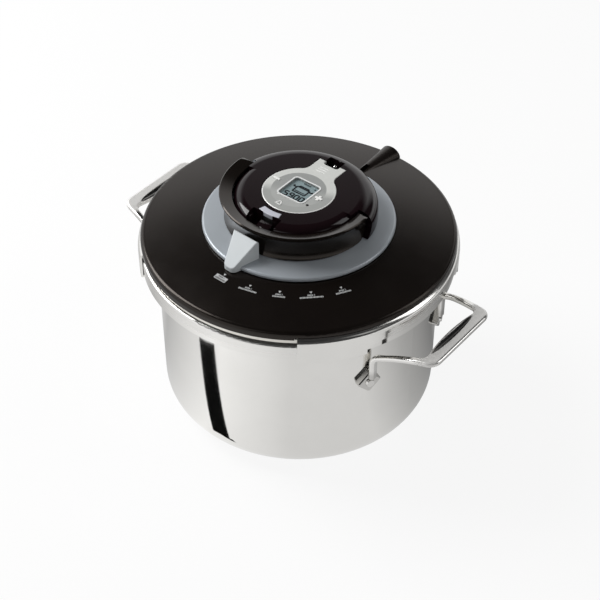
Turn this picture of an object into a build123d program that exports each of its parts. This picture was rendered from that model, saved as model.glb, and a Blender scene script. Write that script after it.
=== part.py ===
"""Stovetop pressure cooker: clad steel pot with two cast handles, and a clamp lid.

The lid carries a black cover, two steel jaws that hook under the pot's collar, a folding
bail whose barrel cams drive the jaws, a selector ring and a lift-out electronic timer.
Millimetres. Origin on the table under the middle of the pot, +Z up, +X to the right handle,
-Y to the cook.
"""

import math
import os

from build123d import *

os.makedirs("parts", exist_ok=True)

# Pot
pot_radius = 125.0
pot_wall = 1.6
pot_corner_radius = 25.0
pot_height = 170.0
base_disc_thickness = 4.0
rim_overhang = 13.5
rim_round = 2.2
collar_drop = 15.0

# Loop handles
handle_reach = 50.2
handle_bar_half_width = 41.7
handle_foot_half_width = 55.5
handle_loop_half_width = 46.8
handle_loop_bar_half_width = 37.5
handle_loop_start = 4.0
handle_bar_width = 12.0
handle_bar_bulge = 4.5
handle_corner_radius = 11.0
handle_loop_radius = 6.0
handle_knee_radius = 30.0
handle_thickness = 5.0
handle_lug_height = 106.0
handle_lug_side = 16.5
handle_lug_thickness = 5.0
handle_lug_corner = 2.0
handle_lug_bevel = 0.9
handle_lug_angle = 23.9
handle_leg_offset = -5.0
handle_foot_rise = 5.0
handle_leg_height = 17.5
handle_bend_radius = 8.0
handle_leg_slope = 24.0
handle_crest_radius = 150.0
handle_bar_slope = 5.0
handle_edge_round = 2.1
handle_dish_half_length = 30.0
handle_dish_half_width = 3.6
handle_dish_depth = 1.9
handle_dish_rim = 1.3
rivet_radius = 2.6
rivet_head_radius = 4.2
rivet_head_height = 1.8
rivet_head_taper = 20.0
rivet_drop = 0.5

# Lid pan and gasket
seal_gap = 0.2
gasket_height = 3.6
gasket_width = 6.5
gasket_skirt_depth = 7.0
gasket_pot_clearance = 0.6
gasket_round = 1.5
pan_thickness = 1.5
pan_inset = 2.1
pan_lip_drop = 2.6
pan_round = 0.9

# Jaws, arms and guides
jaw_gap = 0.7
jaw_wall = 2.0
jaw_collar_clearance = 0.5
jaw_flange_width = 23.0
jaw_half_span = 52.0
jaw_height = 26.0
jaw_hook = 4.5
jaw_shoulder_radius = 7.0
jaw_hem_round = 1.2
jaw_travel = 8.0
jaw_notch_half_span = 28.0
jaw_notch_inner_half_span = 20.5
jaw_notch_low = 8.0
jaw_notch_step = 12.0
jaw_notch_high = 16.0
arm_thickness = 2.0
arm_width = 26.0
arm_corner_radius = 3.0
arm_overlap = 9.0
arm_post_gap = 6.8
arm_post_length = 5.0
arm_post_width = 8.0
arm_peg_radius = 1.5
arm_inner_margin = 4.5
guide_x = 92.0
guide_length = 14.0
guide_wall = 2.0
guide_clearance = 0.4

# Lid cover
cover_inset = 2.7
cover_edge_gap = 0.5
cover_edge_height = 5.5
cover_edge_round = 4.2
cover_crown = 0.4
cover_rise = 7.3
cover_thickness = 2.5
cover_flat_radius = 64.0
cover_shoulder_radius = 86.0
cover_shoulder_drop = 0.8
cover_gap_margin = 1.0
cover_skirt_width = 6.0
ridge_start = 88.0
ridge_half_width_in = 3.6
ridge_half_width_out = 10.0
ridge_height_in = 1.0
ridge_height_out = 6.8
ridge_end_margin = 1.0
steam_slot_width = 4.5
steam_slot_length = 13.0
steam_bore_radius = 2.6
steam_bore_rise = 1.3

# Selector ring and pointer
ring_gap = 0.3
ring_inner_radius = 58.0
ring_outer_radius = 84.3
ring_edge_height = 3.1
ring_height = 5.4
ring_crown_width = 5.5
ring_lip_width = 2.4
ring_lip_height = 3.5
ring_edge_round = 2.2
pointer_clearance = 3.9
pointer_length = 23.7
pointer_root_width = 27.0
pointer_tip_width = 10.5
pointer_root_height = 18.5
pointer_angle = 1.8
pointer_tip_height = 4.2
pointer_tip_round = 4.5
pointer_top_round = 1.2

# Control base and its fixing
base_hub_clearance = 0.5
base_flange_clearance = 0.5
base_top_gap = 0.5
base_boss_radius = 22.0
base_boss_clearance = 0.3
sleeve_radius = 9.5
sleeve_length = 12.0
sleeve_bore_radius = 6.0
nut_side_radius = 17.0
nut_height = 8.0
nut_chamfer = 1.0
fit_clearance = 0.05

# Bail
bail_gap = 0.4
bail_height = 25.6
bail_lip_step = 0.1
bail_grip_width = 11.0
bail_grip_drop = 3.7
bail_grip_thickness = 2.4
bail_waist_depth = 5.1
bail_foot_depth = 3.5
bail_wall = 2.6
bail_pin_radius = 2.4
bail_pin_skin = 1.0
bail_pin_round = 0.5
bail_end_over_span = 2.0
bail_lip_inset = 2.0
bail_lip_drop = 1.4
bail_lip_bevel = 1.6
bail_rim_bevel_width = 0.9
bail_rim_bevel_height = 0.7
bail_flare_width = 0.8
bail_flare_drop = 0.6

# Barrel cams on the bail's pins
cam_radius = 5.2
cam_groove_depth = 2.0
cam_groove_clearance = 0.2
cam_over_run = 20.0
cam_end_margin = 3.5

# Control housing
housing_radius = 68.6
housing_front_clearance = 1.2
housing_top = 25.0
housing_wall = 2.2
housing_round = 16.0
housing_front_round = 9.0
pocket_wall = 1.6
bail_pocket_clearance = 2.6
pin_boss_radius = 5.0
recess_half_width = 15.0
recess_depth = 12.0
screw_circle_radius = 46.0
screw_radius = 1.5
screw_head_radius = 2.8
screw_head_height = 2.4
screw_length = 14.0
screw_post_radius = 3.6

# Release button
button_gap = 3.4
button_width = 6.4
button_half_span = 15.0
button_flange = 1.2
button_flange_height = 1.6
button_clearance = 0.3
button_round = 0.8
button_cap_height = 4.0
spring_radius = 2.6
spring_wall = 0.7

# Timer
timer_inset = 36.4
timer_tongue_gap = 3.0
timer_tongue_half_width = 14.5
timer_neck_share = 0.57
timer_notch_half_width = 7.5
timer_notch_depth = 4.5
timer_height = 10.0
timer_sink = 0.3
timer_clearance = 0.3
timer_wall = 1.4
timer_face_thickness = 2.0
timer_face_round = 0.9
window_half_width = 13.2
window_half_length = 13.4
window_radius = 2.8
bezel_width = 1.3
bezel_proud = 0.5
lens_thickness = 1.0
lcd_thickness = 1.2
lcd_gap = 0.3
lcd_margin = 0.6
board_thickness = 1.2
board_margin = 0.4
battery_radius = 10.0
battery_height = 3.0
battery_cover_radius = 12.0
battery_cover_thickness = 1.2
minus_key_inset = 6.6
plus_key_x = 20.3
key_y = 1.2
key_length = 7.0
key_width = 2.4
key_proud = 0.7
key_travel = 0.5
key_clearance = 0.25
key_round = 0.4

# Pressure pin, pressure valve and safety valve
pin_y = 51.0
pin_radius = 2.0
pin_sink = 5.0
pin_round = 1.8
pin_top_drop = 3.5
pin_slot_half_width = 8.0
pin_slot_margin = 4.0
pin_slot_depth = 9.0
bush_radius = 5.0
bush_flange_radius = 7.5
bush_flange_height = 2.0
bush_length = 14.0
valve_y = 34.0
safety_x = -26.0
safety_y = -26.0
valve_radius = 6.0
valve_flange_radius = 9.0
valve_flange_height = 2.5
valve_height = 18.2
valve_inlet_radius = 2.5
valve_chamber_radius = 4.6
valve_seat_height = 4.2
valve_cap_height = 1.8
poppet_height = 2.8
poppet_stem_radius = 1.6
poppet_stem_length = 14.0
passage_clearance = 0.6

# Levels and radii, each worked out from the sizes above
z_shell = base_disc_thickness
z_rim = pot_height
z_collar = z_rim - collar_drop
collar_radius = pot_radius + rim_overhang
base_disc_radius = pot_radius - pot_corner_radius
gasket_inner_radius = pot_radius - gasket_width
jaw_outer_radius = collar_radius + jaw_collar_clearance + jaw_wall
jaw_inner_radius = jaw_outer_radius - jaw_flange_width
cover_radius = jaw_outer_radius - cover_inset
pan_radius = cover_radius - pan_inset
z_gasket = z_rim + seal_gap
z_pan_low = z_gasket + gasket_height
z_pan = z_pan_low + pan_thickness
z_jaw = z_pan + jaw_gap
z_arm = z_jaw + jaw_wall
z_arm_top = z_arm + arm_thickness
z_cover_edge = z_arm + cover_edge_gap
z_cover_rim = z_cover_edge + cover_edge_height
z_seat = z_cover_rim + cover_rise
z_ring = z_seat + ring_gap
z_ring_top = z_ring + ring_height
z_base_top = z_ring_top + base_top_gap
z_bail = z_base_top + bail_gap
z_bail_top = z_bail + bail_height
z_pivot = z_bail + bail_height / 2
z_housing_top = z_base_top + housing_top
z_timer_top = z_housing_top - timer_sink
z_timer = z_timer_top - timer_height
z_pocket = z_timer - timer_clearance
handle_foot_height = handle_lug_height + handle_foot_rise
handle_bend_height = handle_foot_height + handle_leg_height
bail_end_radius = bail_height / 2
bail_lip_radius = housing_radius - bail_lip_step
bail_waist_radius = bail_lip_radius - bail_waist_depth
bail_foot_radius = bail_lip_radius - bail_foot_depth
ring_crown_radius = ring_inner_radius + ring_crown_width
ring_lip_radius = ring_inner_radius + ring_lip_width
timer_radius = housing_radius - timer_inset
timer_tongue_reach = pin_y - timer_tongue_gap
timer_neck_radius = timer_neck_share * (timer_tongue_reach - timer_radius)
minus_key_x = minus_key_inset - timer_radius
button_inner_radius = timer_radius + button_gap
button_outer_radius = button_inner_radius + button_width
arm_post_x = timer_radius + arm_post_gap
pin_slot_end = pin_y + pin_slot_margin
pointer_inner_radius = bail_waist_radius + pointer_clearance
pointer_tip_radius = pointer_inner_radius + pointer_length
bail_grip_radius = bail_lip_radius - bail_grip_width
housing_front_radius = bail_grip_radius - housing_front_clearance


def upright(angle):
    """The plane through the middle axis that faces sideways at this angle from +X."""
    turn = math.radians(angle)
    return Plane(
        origin=(0, 0, 0),
        x_dir=(math.cos(turn), math.sin(turn), 0),
        z_dir=(math.sin(turn), -math.cos(turn), 0),
    )


def outline(points, rounds=(), plane=Plane.XZ):
    """A closed outline of straight sides, with some corners rounded: (x, y, radius)."""
    with BuildSketch(plane, mode=Mode.PRIVATE) as sketch:
        with BuildLine():
            Polyline(*points, close=True)
        make_face()
        for x, y, radius in rounds:
            fillet(sketch.vertices().sort_by_distance((x, y))[0], radius)
    return sketch.sketch


def keyhole(grow, plane, reach=timer_tongue_reach):
    """The timer's plan: a round face with a tongue to the back, grown by some clearance."""
    round_radius = timer_radius + grow
    half = timer_tongue_half_width + grow
    with BuildSketch(plane, mode=Mode.PRIVATE) as sketch:
        Circle(round_radius)
        with Locations((0, (reach + grow) / 2)):
            Rectangle(2 * half, reach + grow)
        neck_y = math.sqrt(round_radius**2 - half**2)
        for side in (-1, 1):
            fillet(sketch.vertices().sort_by_distance((side * half, neck_y))[0], timer_neck_radius)
    return sketch.sketch


def write(builder, name):
    """Label a finished piece and write it."""
    builder.part.label = name
    export_step(builder.part, f"parts/{name}.step")


# Pot shell: drawn cup with a flat rim and a turned-down collar
with BuildPart() as pot_shell:
    with BuildSketch(Plane.XZ):
        with BuildLine():
            inner_radius = pot_radius - pot_wall
            corner_x = pot_radius - pot_corner_radius
            corner_z = z_shell + pot_corner_radius
            inner_corner = pot_corner_radius - pot_wall
            Line((0, z_shell), (corner_x, z_shell))
            CenterArc((corner_x, corner_z), pot_corner_radius, -90, 90)
            Polyline(
                (pot_radius, corner_z),
                (pot_radius, z_rim - pot_wall),
                (collar_radius - pot_wall, z_rim - pot_wall),
                (collar_radius - pot_wall, z_collar),
                (collar_radius, z_collar),
                (collar_radius, z_rim - rim_round),
            )
            CenterArc((collar_radius - rim_round, z_rim - rim_round), rim_round, 0, 90)
            Polyline(
                (collar_radius - rim_round, z_rim),
                (inner_radius, z_rim),
                (inner_radius, corner_z),
            )
            CenterArc((corner_x, corner_z), inner_corner, 0, -90)
            Polyline((corner_x, z_shell + pot_wall), (0, z_shell + pot_wall), (0, z_shell))
        make_face()
    revolve(axis=Axis.Z)
write(pot_shell, "pot_shell")

# Heat-spreading disc bonded under the pot
with BuildPart() as base_disc:
    Cylinder(base_disc_radius, base_disc_thickness, align=(Align.CENTER, Align.CENTER, Align.MIN))
    fillet(base_disc.edges().group_by(Axis.Z)[0], base_disc_thickness / 4)
write(base_disc, "base_disc")

# Cast loop handle: a strip that bends out of two riveted lugs and rises to a broad bar
leg_x = pot_radius + handle_leg_offset
bar_x = pot_radius + handle_reach
loop_bar_x = bar_x - handle_bar_width
with BuildPart() as handle_right:
    with BuildSketch(Plane.XZ.offset(-handle_foot_half_width)):
        with BuildLine():
            foot = Line((leg_x, handle_foot_height), (leg_x, handle_bend_height))
            bend = JernArc(foot @ 1, foot % 1, handle_bend_radius, handle_leg_slope - 90)
            crest = JernArc(bend @ 1, bend % 1, handle_crest_radius, handle_bar_slope - handle_leg_slope)
            crest_end = crest @ 1
            bar_drop = (bar_x - crest_end.X) * math.tan(math.radians(handle_bar_slope))
            Line(crest_end, (bar_x + handle_thickness, crest_end.Y + bar_drop))
        trace(line_width=handle_thickness)
    extrude(amount=2 * handle_foot_half_width)
    with BuildSketch(Plane.XY):
        add(
            outline(
                [
                    (leg_x - handle_thickness, -handle_foot_half_width),
                    (bar_x, -handle_bar_half_width),
                    (bar_x, handle_bar_half_width),
                    (leg_x - handle_thickness, handle_foot_half_width),
                ],
                [
                    (bar_x, -handle_bar_half_width, handle_corner_radius),
                    (bar_x, handle_bar_half_width, handle_corner_radius),
                ],
                Plane.XY,
            )
        )
        with BuildSketch(mode=Mode.PRIVATE) as handle_loop:
            with BuildLine():
                loop_x = pot_radius + handle_loop_start
                ThreePointArc(
                    (loop_bar_x, -handle_loop_bar_half_width),
                    (loop_bar_x - handle_bar_bulge, 0),
                    (loop_bar_x, handle_loop_bar_half_width),
                )
                Polyline(
                    (loop_bar_x, handle_loop_bar_half_width),
                    (loop_x, handle_loop_half_width),
                    (loop_x - handle_reach, handle_loop_half_width),
                    (loop_x - handle_reach, -handle_loop_half_width),
                    (loop_x, -handle_loop_half_width),
                    (loop_bar_x, -handle_loop_bar_half_width),
                )
            make_face()
            for side in (-1, 1):
                corner = (loop_bar_x, side * handle_loop_bar_half_width)
                fillet(handle_loop.vertices().sort_by_distance(corner)[0], handle_loop_radius)
                knee = (loop_x, side * handle_loop_half_width)
                fillet(handle_loop.vertices().sort_by_distance(knee)[0], handle_knee_radius)
        add(handle_loop.sketch, mode=Mode.SUBTRACT)
    extrude(amount=pot_height, mode=Mode.INTERSECT)
    straight = handle_right.edges().filter_by(GeomType.LINE)
    through = straight.filter_by(lambda edge: edge.length < 1.5 * handle_thickness)
    across = straight.filter_by(Axis.Y).filter_by(lambda edge: edge.center().X < bar_x - handle_thickness)
    fillet(handle_right.edges() - through - across, handle_edge_round)
    dish_x = loop_bar_x - handle_bar_bulge + handle_dish_rim + handle_dish_half_width
    dish_rise = (dish_x - crest_end.X) * math.tan(math.radians(handle_bar_slope))
    dish_z = crest_end.Y + dish_rise + handle_thickness / 2
    dish_radius = (handle_dish_half_width**2 + handle_dish_depth**2) / (2 * handle_dish_depth)
    dish_lift = dish_radius - handle_dish_depth
    with BuildSketch(Plane(origin=(dish_x, 0, dish_z + dish_lift), x_dir=(0, 1, 0), z_dir=(1, 0, 0))):
        with BuildLine():
            belly = ThreePointArc(
                (-handle_dish_half_length, -dish_lift),
                (0, -dish_radius),
                (handle_dish_half_length, -dish_lift),
            )
            Polyline(belly @ 1, (handle_dish_half_length, 0), (-handle_dish_half_length, 0), belly @ 0)
        make_face()
    revolve(axis=Axis((dish_x, 0, dish_z + dish_lift), (0, 1, 0)), mode=Mode.SUBTRACT)
    for side in (-1, 1):
        lug_turn = math.radians(side * handle_lug_angle)
        lug_plane = Plane(
            origin=(pot_radius * math.cos(lug_turn), pot_radius * math.sin(lug_turn), handle_lug_height),
            x_dir=(-math.sin(lug_turn), math.cos(lug_turn), 0),
            z_dir=(math.cos(lug_turn), math.sin(lug_turn), 0),
        )
        with BuildSketch(lug_plane.offset(-handle_lug_thickness)):
            RectangleRounded(handle_lug_side, handle_lug_side, handle_lug_corner, rotation=45)
        extrude(amount=2 * handle_lug_thickness - handle_lug_bevel)
        with BuildSketch(lug_plane.offset(handle_lug_thickness - handle_lug_bevel)):
            RectangleRounded(handle_lug_side, handle_lug_side, handle_lug_corner, rotation=45)
        extrude(amount=handle_lug_bevel, taper=45)
        with Locations(lug_plane * Location((0, -rivet_drop, 0))):
            Cylinder(rivet_radius + fit_clearance, 6 * handle_lug_thickness, mode=Mode.SUBTRACT)
    with Locations((0, 0, pot_height / 2)):
        Cylinder(pot_radius, pot_height, mode=Mode.SUBTRACT)
write(handle_right, "handle_right")

with BuildPart() as handle_left:
    mirror(handle_right.part, about=Plane.YZ)
write(handle_left, "handle_left")

# Rivets that hold both handles to the pot, one through each lug
with BuildPart() as handle_rivets:
    for middle in (0, 180):
        for side in (-1, 1):
            turn = math.radians(middle + side * handle_lug_angle)
            seat = pot_radius + handle_lug_thickness
            rivet_plane = Plane(
                origin=(seat * math.cos(turn), seat * math.sin(turn), handle_lug_height - rivet_drop),
                z_dir=(math.cos(turn), math.sin(turn), 0),
            )
            with BuildSketch(rivet_plane):
                Circle(rivet_radius)
            extrude(amount=-handle_lug_thickness)
            with BuildSketch(rivet_plane):
                Circle(rivet_head_radius)
            extrude(amount=rivet_head_height, taper=rivet_head_taper)
    with Locations((0, 0, pot_height / 2)):
        Cylinder(pot_radius, pot_height, mode=Mode.SUBTRACT)
write(handle_rivets, "handle_rivets")

# Lid pan: flat steel lid with a short lip round the gasket and holes for what passes through
with BuildPart() as lid_pan:
    pan_lip_radius = pan_radius - pan_thickness
    revolve(
        outline(
            [
                (0, z_pan_low),
                (pan_lip_radius, z_pan_low),
                (pan_lip_radius, z_pan_low - pan_lip_drop),
                (pan_radius, z_pan_low - pan_lip_drop),
                (pan_radius, z_pan),
                (0, z_pan),
            ],
            [(pan_radius, z_pan, pan_round)],
        ),
        axis=Axis.Z,
    )
    with Locations((0, 0, z_pan)):
        Hole(sleeve_radius + base_boss_clearance)
    with Locations((0, valve_y, z_pan), (safety_x, safety_y, z_pan)):
        Hole(valve_radius + fit_clearance)
    with Locations((0, pin_y, z_pan)):
        Hole(bush_radius + fit_clearance)
write(lid_pan, "lid_pan")

# Lid gasket: flat ring on the rim with a skirt inside the pot's mouth
with BuildPart() as lid_gasket:
    mouth_radius = pot_radius - pot_wall - gasket_pot_clearance
    gasket_radius = pan_lip_radius - fit_clearance
    revolve(
        outline(
            [
                (gasket_inner_radius, z_gasket - gasket_skirt_depth),
                (mouth_radius, z_gasket - gasket_skirt_depth),
                (mouth_radius, z_gasket),
                (gasket_radius, z_gasket),
                (gasket_radius, z_pan_low),
                (gasket_inner_radius, z_pan_low),
            ],
            [(mouth_radius, z_gasket - gasket_skirt_depth, gasket_round)],
        ),
        axis=Axis.Z,
    )
write(lid_gasket, "lid_gasket")

# Right jaw: a sheet channel that grips the lid's edge and hooks under the pot's collar
hook_radius = jaw_outer_radius - jaw_wall - jaw_hook
z_jaw_low = z_arm - jaw_height
with BuildPart() as jaw_right:
    revolve(
        outline(
            [
                (jaw_inner_radius, z_jaw),
                (jaw_outer_radius - jaw_wall, z_jaw),
                (jaw_outer_radius - jaw_wall, z_jaw_low + jaw_wall),
                (hook_radius, z_jaw_low + jaw_wall),
                (hook_radius, z_jaw_low),
                (jaw_outer_radius, z_jaw_low),
                (jaw_outer_radius, z_arm),
                (jaw_inner_radius, z_arm),
            ],
            [
                (jaw_outer_radius, z_arm, jaw_shoulder_radius),
                (jaw_outer_radius - jaw_wall, z_jaw, jaw_shoulder_radius - jaw_wall),
                (jaw_outer_radius, z_jaw_low, jaw_hem_round),
            ],
            upright(-jaw_half_span),
        ),
        axis=Axis.Z,
        revolution_arc=2 * jaw_half_span,
    )
    z_notch = z_jaw_low + jaw_notch_low
    revolve(
        outline(
            [
                (jaw_inner_radius, z_jaw_low - jaw_wall),
                (jaw_outer_radius + jaw_wall, z_jaw_low - jaw_wall),
                (jaw_outer_radius + jaw_wall, z_notch),
                (jaw_inner_radius, z_notch),
            ],
            plane=upright(-jaw_notch_half_span),
        ),
        axis=Axis.Z,
        revolution_arc=2 * jaw_notch_half_span,
        mode=Mode.SUBTRACT,
    )
    wide = (jaw_outer_radius - jaw_wall) * math.sin(math.radians(jaw_notch_half_span))
    narrow = jaw_outer_radius * math.sin(math.radians(jaw_notch_inner_half_span))
    with BuildSketch(Plane.YZ.offset(jaw_inner_radius / 2)):
        add(
            outline(
                [
                    (-wide, z_notch - jaw_wall),
                    (-wide, z_notch),
                    (-narrow, z_jaw_low + jaw_notch_step),
                    (-narrow, z_jaw_low + jaw_notch_high),
                    (narrow, z_jaw_low + jaw_notch_high),
                    (narrow, z_jaw_low + jaw_notch_step),
                    (wide, z_notch),
                    (wide, z_notch - jaw_wall),
                ],
                plane=Plane.XY,
            )
        )
    extrude(amount=jaw_outer_radius, mode=Mode.SUBTRACT)
    arm_end = jaw_inner_radius + arm_overlap
    rivet_x = jaw_inner_radius + arm_overlap / 2
    with Locations((rivet_x, -arm_width / 4, z_arm), (rivet_x, arm_width / 4, z_arm)):
        Hole(rivet_radius + fit_clearance)
write(jaw_right, "jaw_right")

with BuildPart() as jaw_left:
    mirror(jaw_right.part, about=Plane.YZ)
write(jaw_left, "jaw_left")

# Right jaw arm: flat strip from the jaw to an upright post whose peg runs in the barrel cam
z_cam_low = z_pivot - cam_radius
z_peg_top = z_cam_low + cam_groove_depth - cam_groove_clearance
z_post_top = z_cam_low - cam_groove_clearance - jaw_gap
arm_start = arm_post_x - arm_inner_margin
with BuildPart() as jaw_arm_right:
    with BuildSketch(Plane.XY.offset(z_arm)):
        with Locations(((arm_start + arm_end) / 2, 0)):
            RectangleRounded(arm_end - arm_start, arm_width, arm_corner_radius)
        with Locations((rivet_x, -arm_width / 4), (rivet_x, arm_width / 4)):
            Circle(rivet_radius + fit_clearance, mode=Mode.SUBTRACT)
    extrude(amount=arm_thickness)
    with BuildSketch(Plane.XY.offset(z_arm_top)):
        with Locations((arm_post_x, 0)):
            Rectangle(arm_post_length, arm_post_width)
    extrude(amount=z_post_top - z_arm_top)
    with BuildSketch(Plane.XY.offset(z_post_top)):
        with Locations((arm_post_x, 0)):
            Circle(arm_peg_radius)
    extrude(amount=z_peg_top - z_post_top)
write(jaw_arm_right, "jaw_arm_right")

with BuildPart() as jaw_arm_left:
    mirror(jaw_arm_right.part, about=Plane.YZ)
write(jaw_arm_left, "jaw_arm_left")

# Rivets that join each arm to its jaw
with BuildPart() as jaw_rivets_right:
    with BuildSketch(Plane.XY.offset(z_jaw)):
        with Locations((rivet_x, -arm_width / 4), (rivet_x, arm_width / 4)):
            Circle(rivet_radius)
    extrude(amount=z_arm_top - z_jaw)
    with BuildSketch(Plane.XY.offset(z_arm_top)):
        with Locations((rivet_x, -arm_width / 4), (rivet_x, arm_width / 4)):
            Circle(rivet_head_radius)
    extrude(amount=arm_thickness / 2, taper=rivet_head_taper)
write(jaw_rivets_right, "jaw_rivets_right")

with BuildPart() as jaw_rivets_left:
    mirror(jaw_rivets_right.part, about=Plane.YZ)
write(jaw_rivets_left, "jaw_rivets_left")

# Guides on the lid pan that the arms slide through
with BuildPart() as jaw_guides:
    guide_width = arm_width + 2 * guide_clearance + 2 * guide_wall
    guide_height = z_arm_top + guide_clearance + guide_wall - z_pan
    slot_height = arm_thickness + 2 * guide_clearance
    for side in (-1, 1):
        with Locations((side * guide_x, 0, z_pan)):
            Box(guide_length, guide_width, guide_height, align=(Align.CENTER, Align.CENTER, Align.MIN))
        with Locations((side * guide_x, 0, z_arm - guide_clearance)):
            Box(
                2 * guide_length,
                arm_width + 2 * guide_clearance,
                slot_height,
                align=(Align.CENTER, Align.CENTER, Align.MIN),
                mode=Mode.SUBTRACT,
            )
write(jaw_guides, "jaw_guides")

# Lid cover: shallow black dome, skirted between the jaws, with the steam ridge at the back
z_edge_round = z_cover_rim - cover_edge_round
z_shoulder = z_seat - cover_shoulder_drop
cover_inner_radius = cover_radius - cover_thickness
jaw_sector = jaw_half_span + cover_gap_margin
slot_length = jaw_travel + arm_post_length + 2 * guide_clearance
slot_x = arm_post_x + jaw_travel / 2
slot_width = arm_post_width + 2 * guide_clearance
with BuildPart() as lid_cover:
    with BuildSketch(Plane.XZ):
        with BuildLine():
            Polyline(
                (0, z_pan),
                (pan_radius - pan_thickness, z_pan),
                (cover_radius, z_pan + jaw_gap),
                (cover_radius, z_edge_round),
            )
            edge_x = cover_radius - cover_edge_round
            CenterArc((edge_x, z_edge_round), cover_edge_round, 0, 90)
            dome_x = (edge_x + cover_shoulder_radius) / 2
            dome_z = (z_cover_rim + z_shoulder) / 2 + cover_crown
            ThreePointArc((edge_x, z_cover_rim), (dome_x, dome_z), (cover_shoulder_radius, z_shoulder))
            Polyline(
                (cover_shoulder_radius, z_shoulder),
                (cover_flat_radius, z_seat),
                (0, z_seat),
                (0, z_pan),
            )
        make_face()
    revolve(axis=Axis.Z)
    ridge_end = cover_radius - ridge_end_margin
    ridge_sections = (
        (ridge_start, z_shoulder, ridge_half_width_in, ridge_height_in),
        (ridge_end, z_cover_rim, ridge_half_width_out, ridge_height_out),
    )
    for y, z, half_width, height in ridge_sections:
        with BuildSketch(Plane.XZ.offset(-y)):
            with Locations((0, z - cover_thickness / 2)):
                Ellipse(half_width, height + cover_thickness / 2)
    loft()
    under_seat = z_seat - cover_thickness
    under_shoulder = z_shoulder - cover_thickness
    under_rim = z_cover_rim - cover_thickness
    skirt_radius = cover_radius - cover_skirt_width
    under_share = (cover_inner_radius - skirt_radius) / (cover_inner_radius - cover_shoulder_radius)
    under_skirt = under_rim + under_share * (under_shoulder - under_rim)
    revolve(
        outline(
            [
                (0, z_collar),
                (skirt_radius, z_collar),
                (skirt_radius, under_skirt),
                (cover_shoulder_radius, under_shoulder),
                (cover_flat_radius, under_seat),
                (0, under_seat),
            ]
        ),
        axis=Axis.Z,
        mode=Mode.SUBTRACT,
    )
    for middle in (0, 180):
        revolve(
            outline(
                [
                    (cover_shoulder_radius, z_collar),
                    (2 * cover_radius, z_collar),
                    (2 * cover_radius, z_cover_edge),
                    (cover_inner_radius, z_cover_edge),
                    (cover_inner_radius, under_rim),
                    (cover_shoulder_radius, under_shoulder),
                ],
                plane=upright(middle - jaw_sector),
            ),
            axis=Axis.Z,
            revolution_arc=2 * jaw_sector,
            mode=Mode.SUBTRACT,
        )
    with Locations((0, 0, z_seat)):
        Hole(base_boss_radius + base_boss_clearance)
    with Locations((0, valve_y, z_seat), (safety_x, safety_y, z_seat)):
        Hole(valve_radius + passage_clearance)
    with Locations((0, pin_y, z_seat)):
        Hole(pin_radius + passage_clearance)
    with Locations((slot_x, 0, z_seat), (-slot_x, 0, z_seat)):
        Box(slot_length, slot_width, 4 * cover_thickness, mode=Mode.SUBTRACT)
    with Locations((0, ridge_start + steam_slot_length / 2, z_shoulder)):
        Box(steam_slot_width, steam_slot_length, 4 * cover_thickness, mode=Mode.SUBTRACT)
    bore_z = z_cover_rim + steam_bore_rise
    bore_start = (ridge_start + ridge_end) / 2
    with BuildSketch(Plane.XZ.offset(-bore_start)):
        with Locations((0, bore_z)):
            Circle(steam_bore_radius)
    extrude(amount=-(cover_radius - bore_start), mode=Mode.SUBTRACT)
write(lid_cover, "lid_cover")

# Control base: hub for the selector ring, boss on the lid pan and threaded sleeve through it
hub_radius = ring_inner_radius - base_hub_clearance
flange_radius = ring_lip_radius - base_flange_clearance
z_flange = z_ring + ring_lip_height + ring_gap
with BuildPart() as control_base:
    revolve(
        outline(
            [
                (0, z_pan_low - sleeve_length),
                (sleeve_radius, z_pan_low - sleeve_length),
                (sleeve_radius, z_pan),
                (base_boss_radius, z_pan),
                (base_boss_radius, z_seat),
                (hub_radius, z_seat),
                (hub_radius, z_flange),
                (flange_radius, z_flange),
                (flange_radius, z_base_top),
                (0, z_base_top),
            ]
        ),
        axis=Axis.Z,
    )
    with Locations((0, 0, z_pan_low - sleeve_length)):
        Cylinder(sleeve_bore_radius, 2 * (z_seat - z_pan), mode=Mode.SUBTRACT)
    with Locations((0, valve_y, z_base_top), (safety_x, safety_y, z_base_top)):
        Cylinder(
            valve_radius + passage_clearance,
            2 * (z_base_top - z_seat + cover_thickness),
            mode=Mode.SUBTRACT,
        )
    with Locations((0, pin_y, z_base_top)):
        Hole(pin_radius + passage_clearance)
    with Locations((slot_x, 0, z_base_top), (-slot_x, 0, z_base_top)):
        Box(slot_length, slot_width, 2 * (z_base_top - z_seat + cover_thickness), mode=Mode.SUBTRACT)
    with PolarLocations(screw_circle_radius, 4, 45):
        with Locations((0, 0, z_seat)):
            Cylinder(
                screw_radius + fit_clearance,
                4 * (z_base_top - z_seat),
                mode=Mode.SUBTRACT,
            )
            Cylinder(
                screw_head_radius + fit_clearance,
                2 * screw_head_height,
                mode=Mode.SUBTRACT,
            )
write(control_base, "control_base")

# Lid nut: clamps the control base and cover to the pan from below
with BuildPart() as lid_nut:
    with BuildSketch(Plane.XY.offset(z_pan_low)):
        RegularPolygon(nut_side_radius, 6)
        Circle(sleeve_radius + fit_clearance, mode=Mode.SUBTRACT)
    extrude(amount=-nut_height)
    chamfer(lid_nut.faces().sort_by(Axis.Z)[0].outer_wire().edges(), nut_chamfer)
write(lid_nut, "lid_nut")

# Screws up through the control base into the housing's posts
with BuildPart() as housing_screws:
    with BuildSketch(Plane.XY.offset(z_seat)):
        with PolarLocations(screw_circle_radius, 4, 45):
            Circle(screw_head_radius)
    extrude(amount=screw_head_height)
    with BuildSketch(Plane.XY.offset(z_seat + screw_head_height)):
        with PolarLocations(screw_circle_radius, 4, 45):
            Circle(screw_radius)
    extrude(amount=screw_length)
write(housing_screws, "housing_screws")

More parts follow.
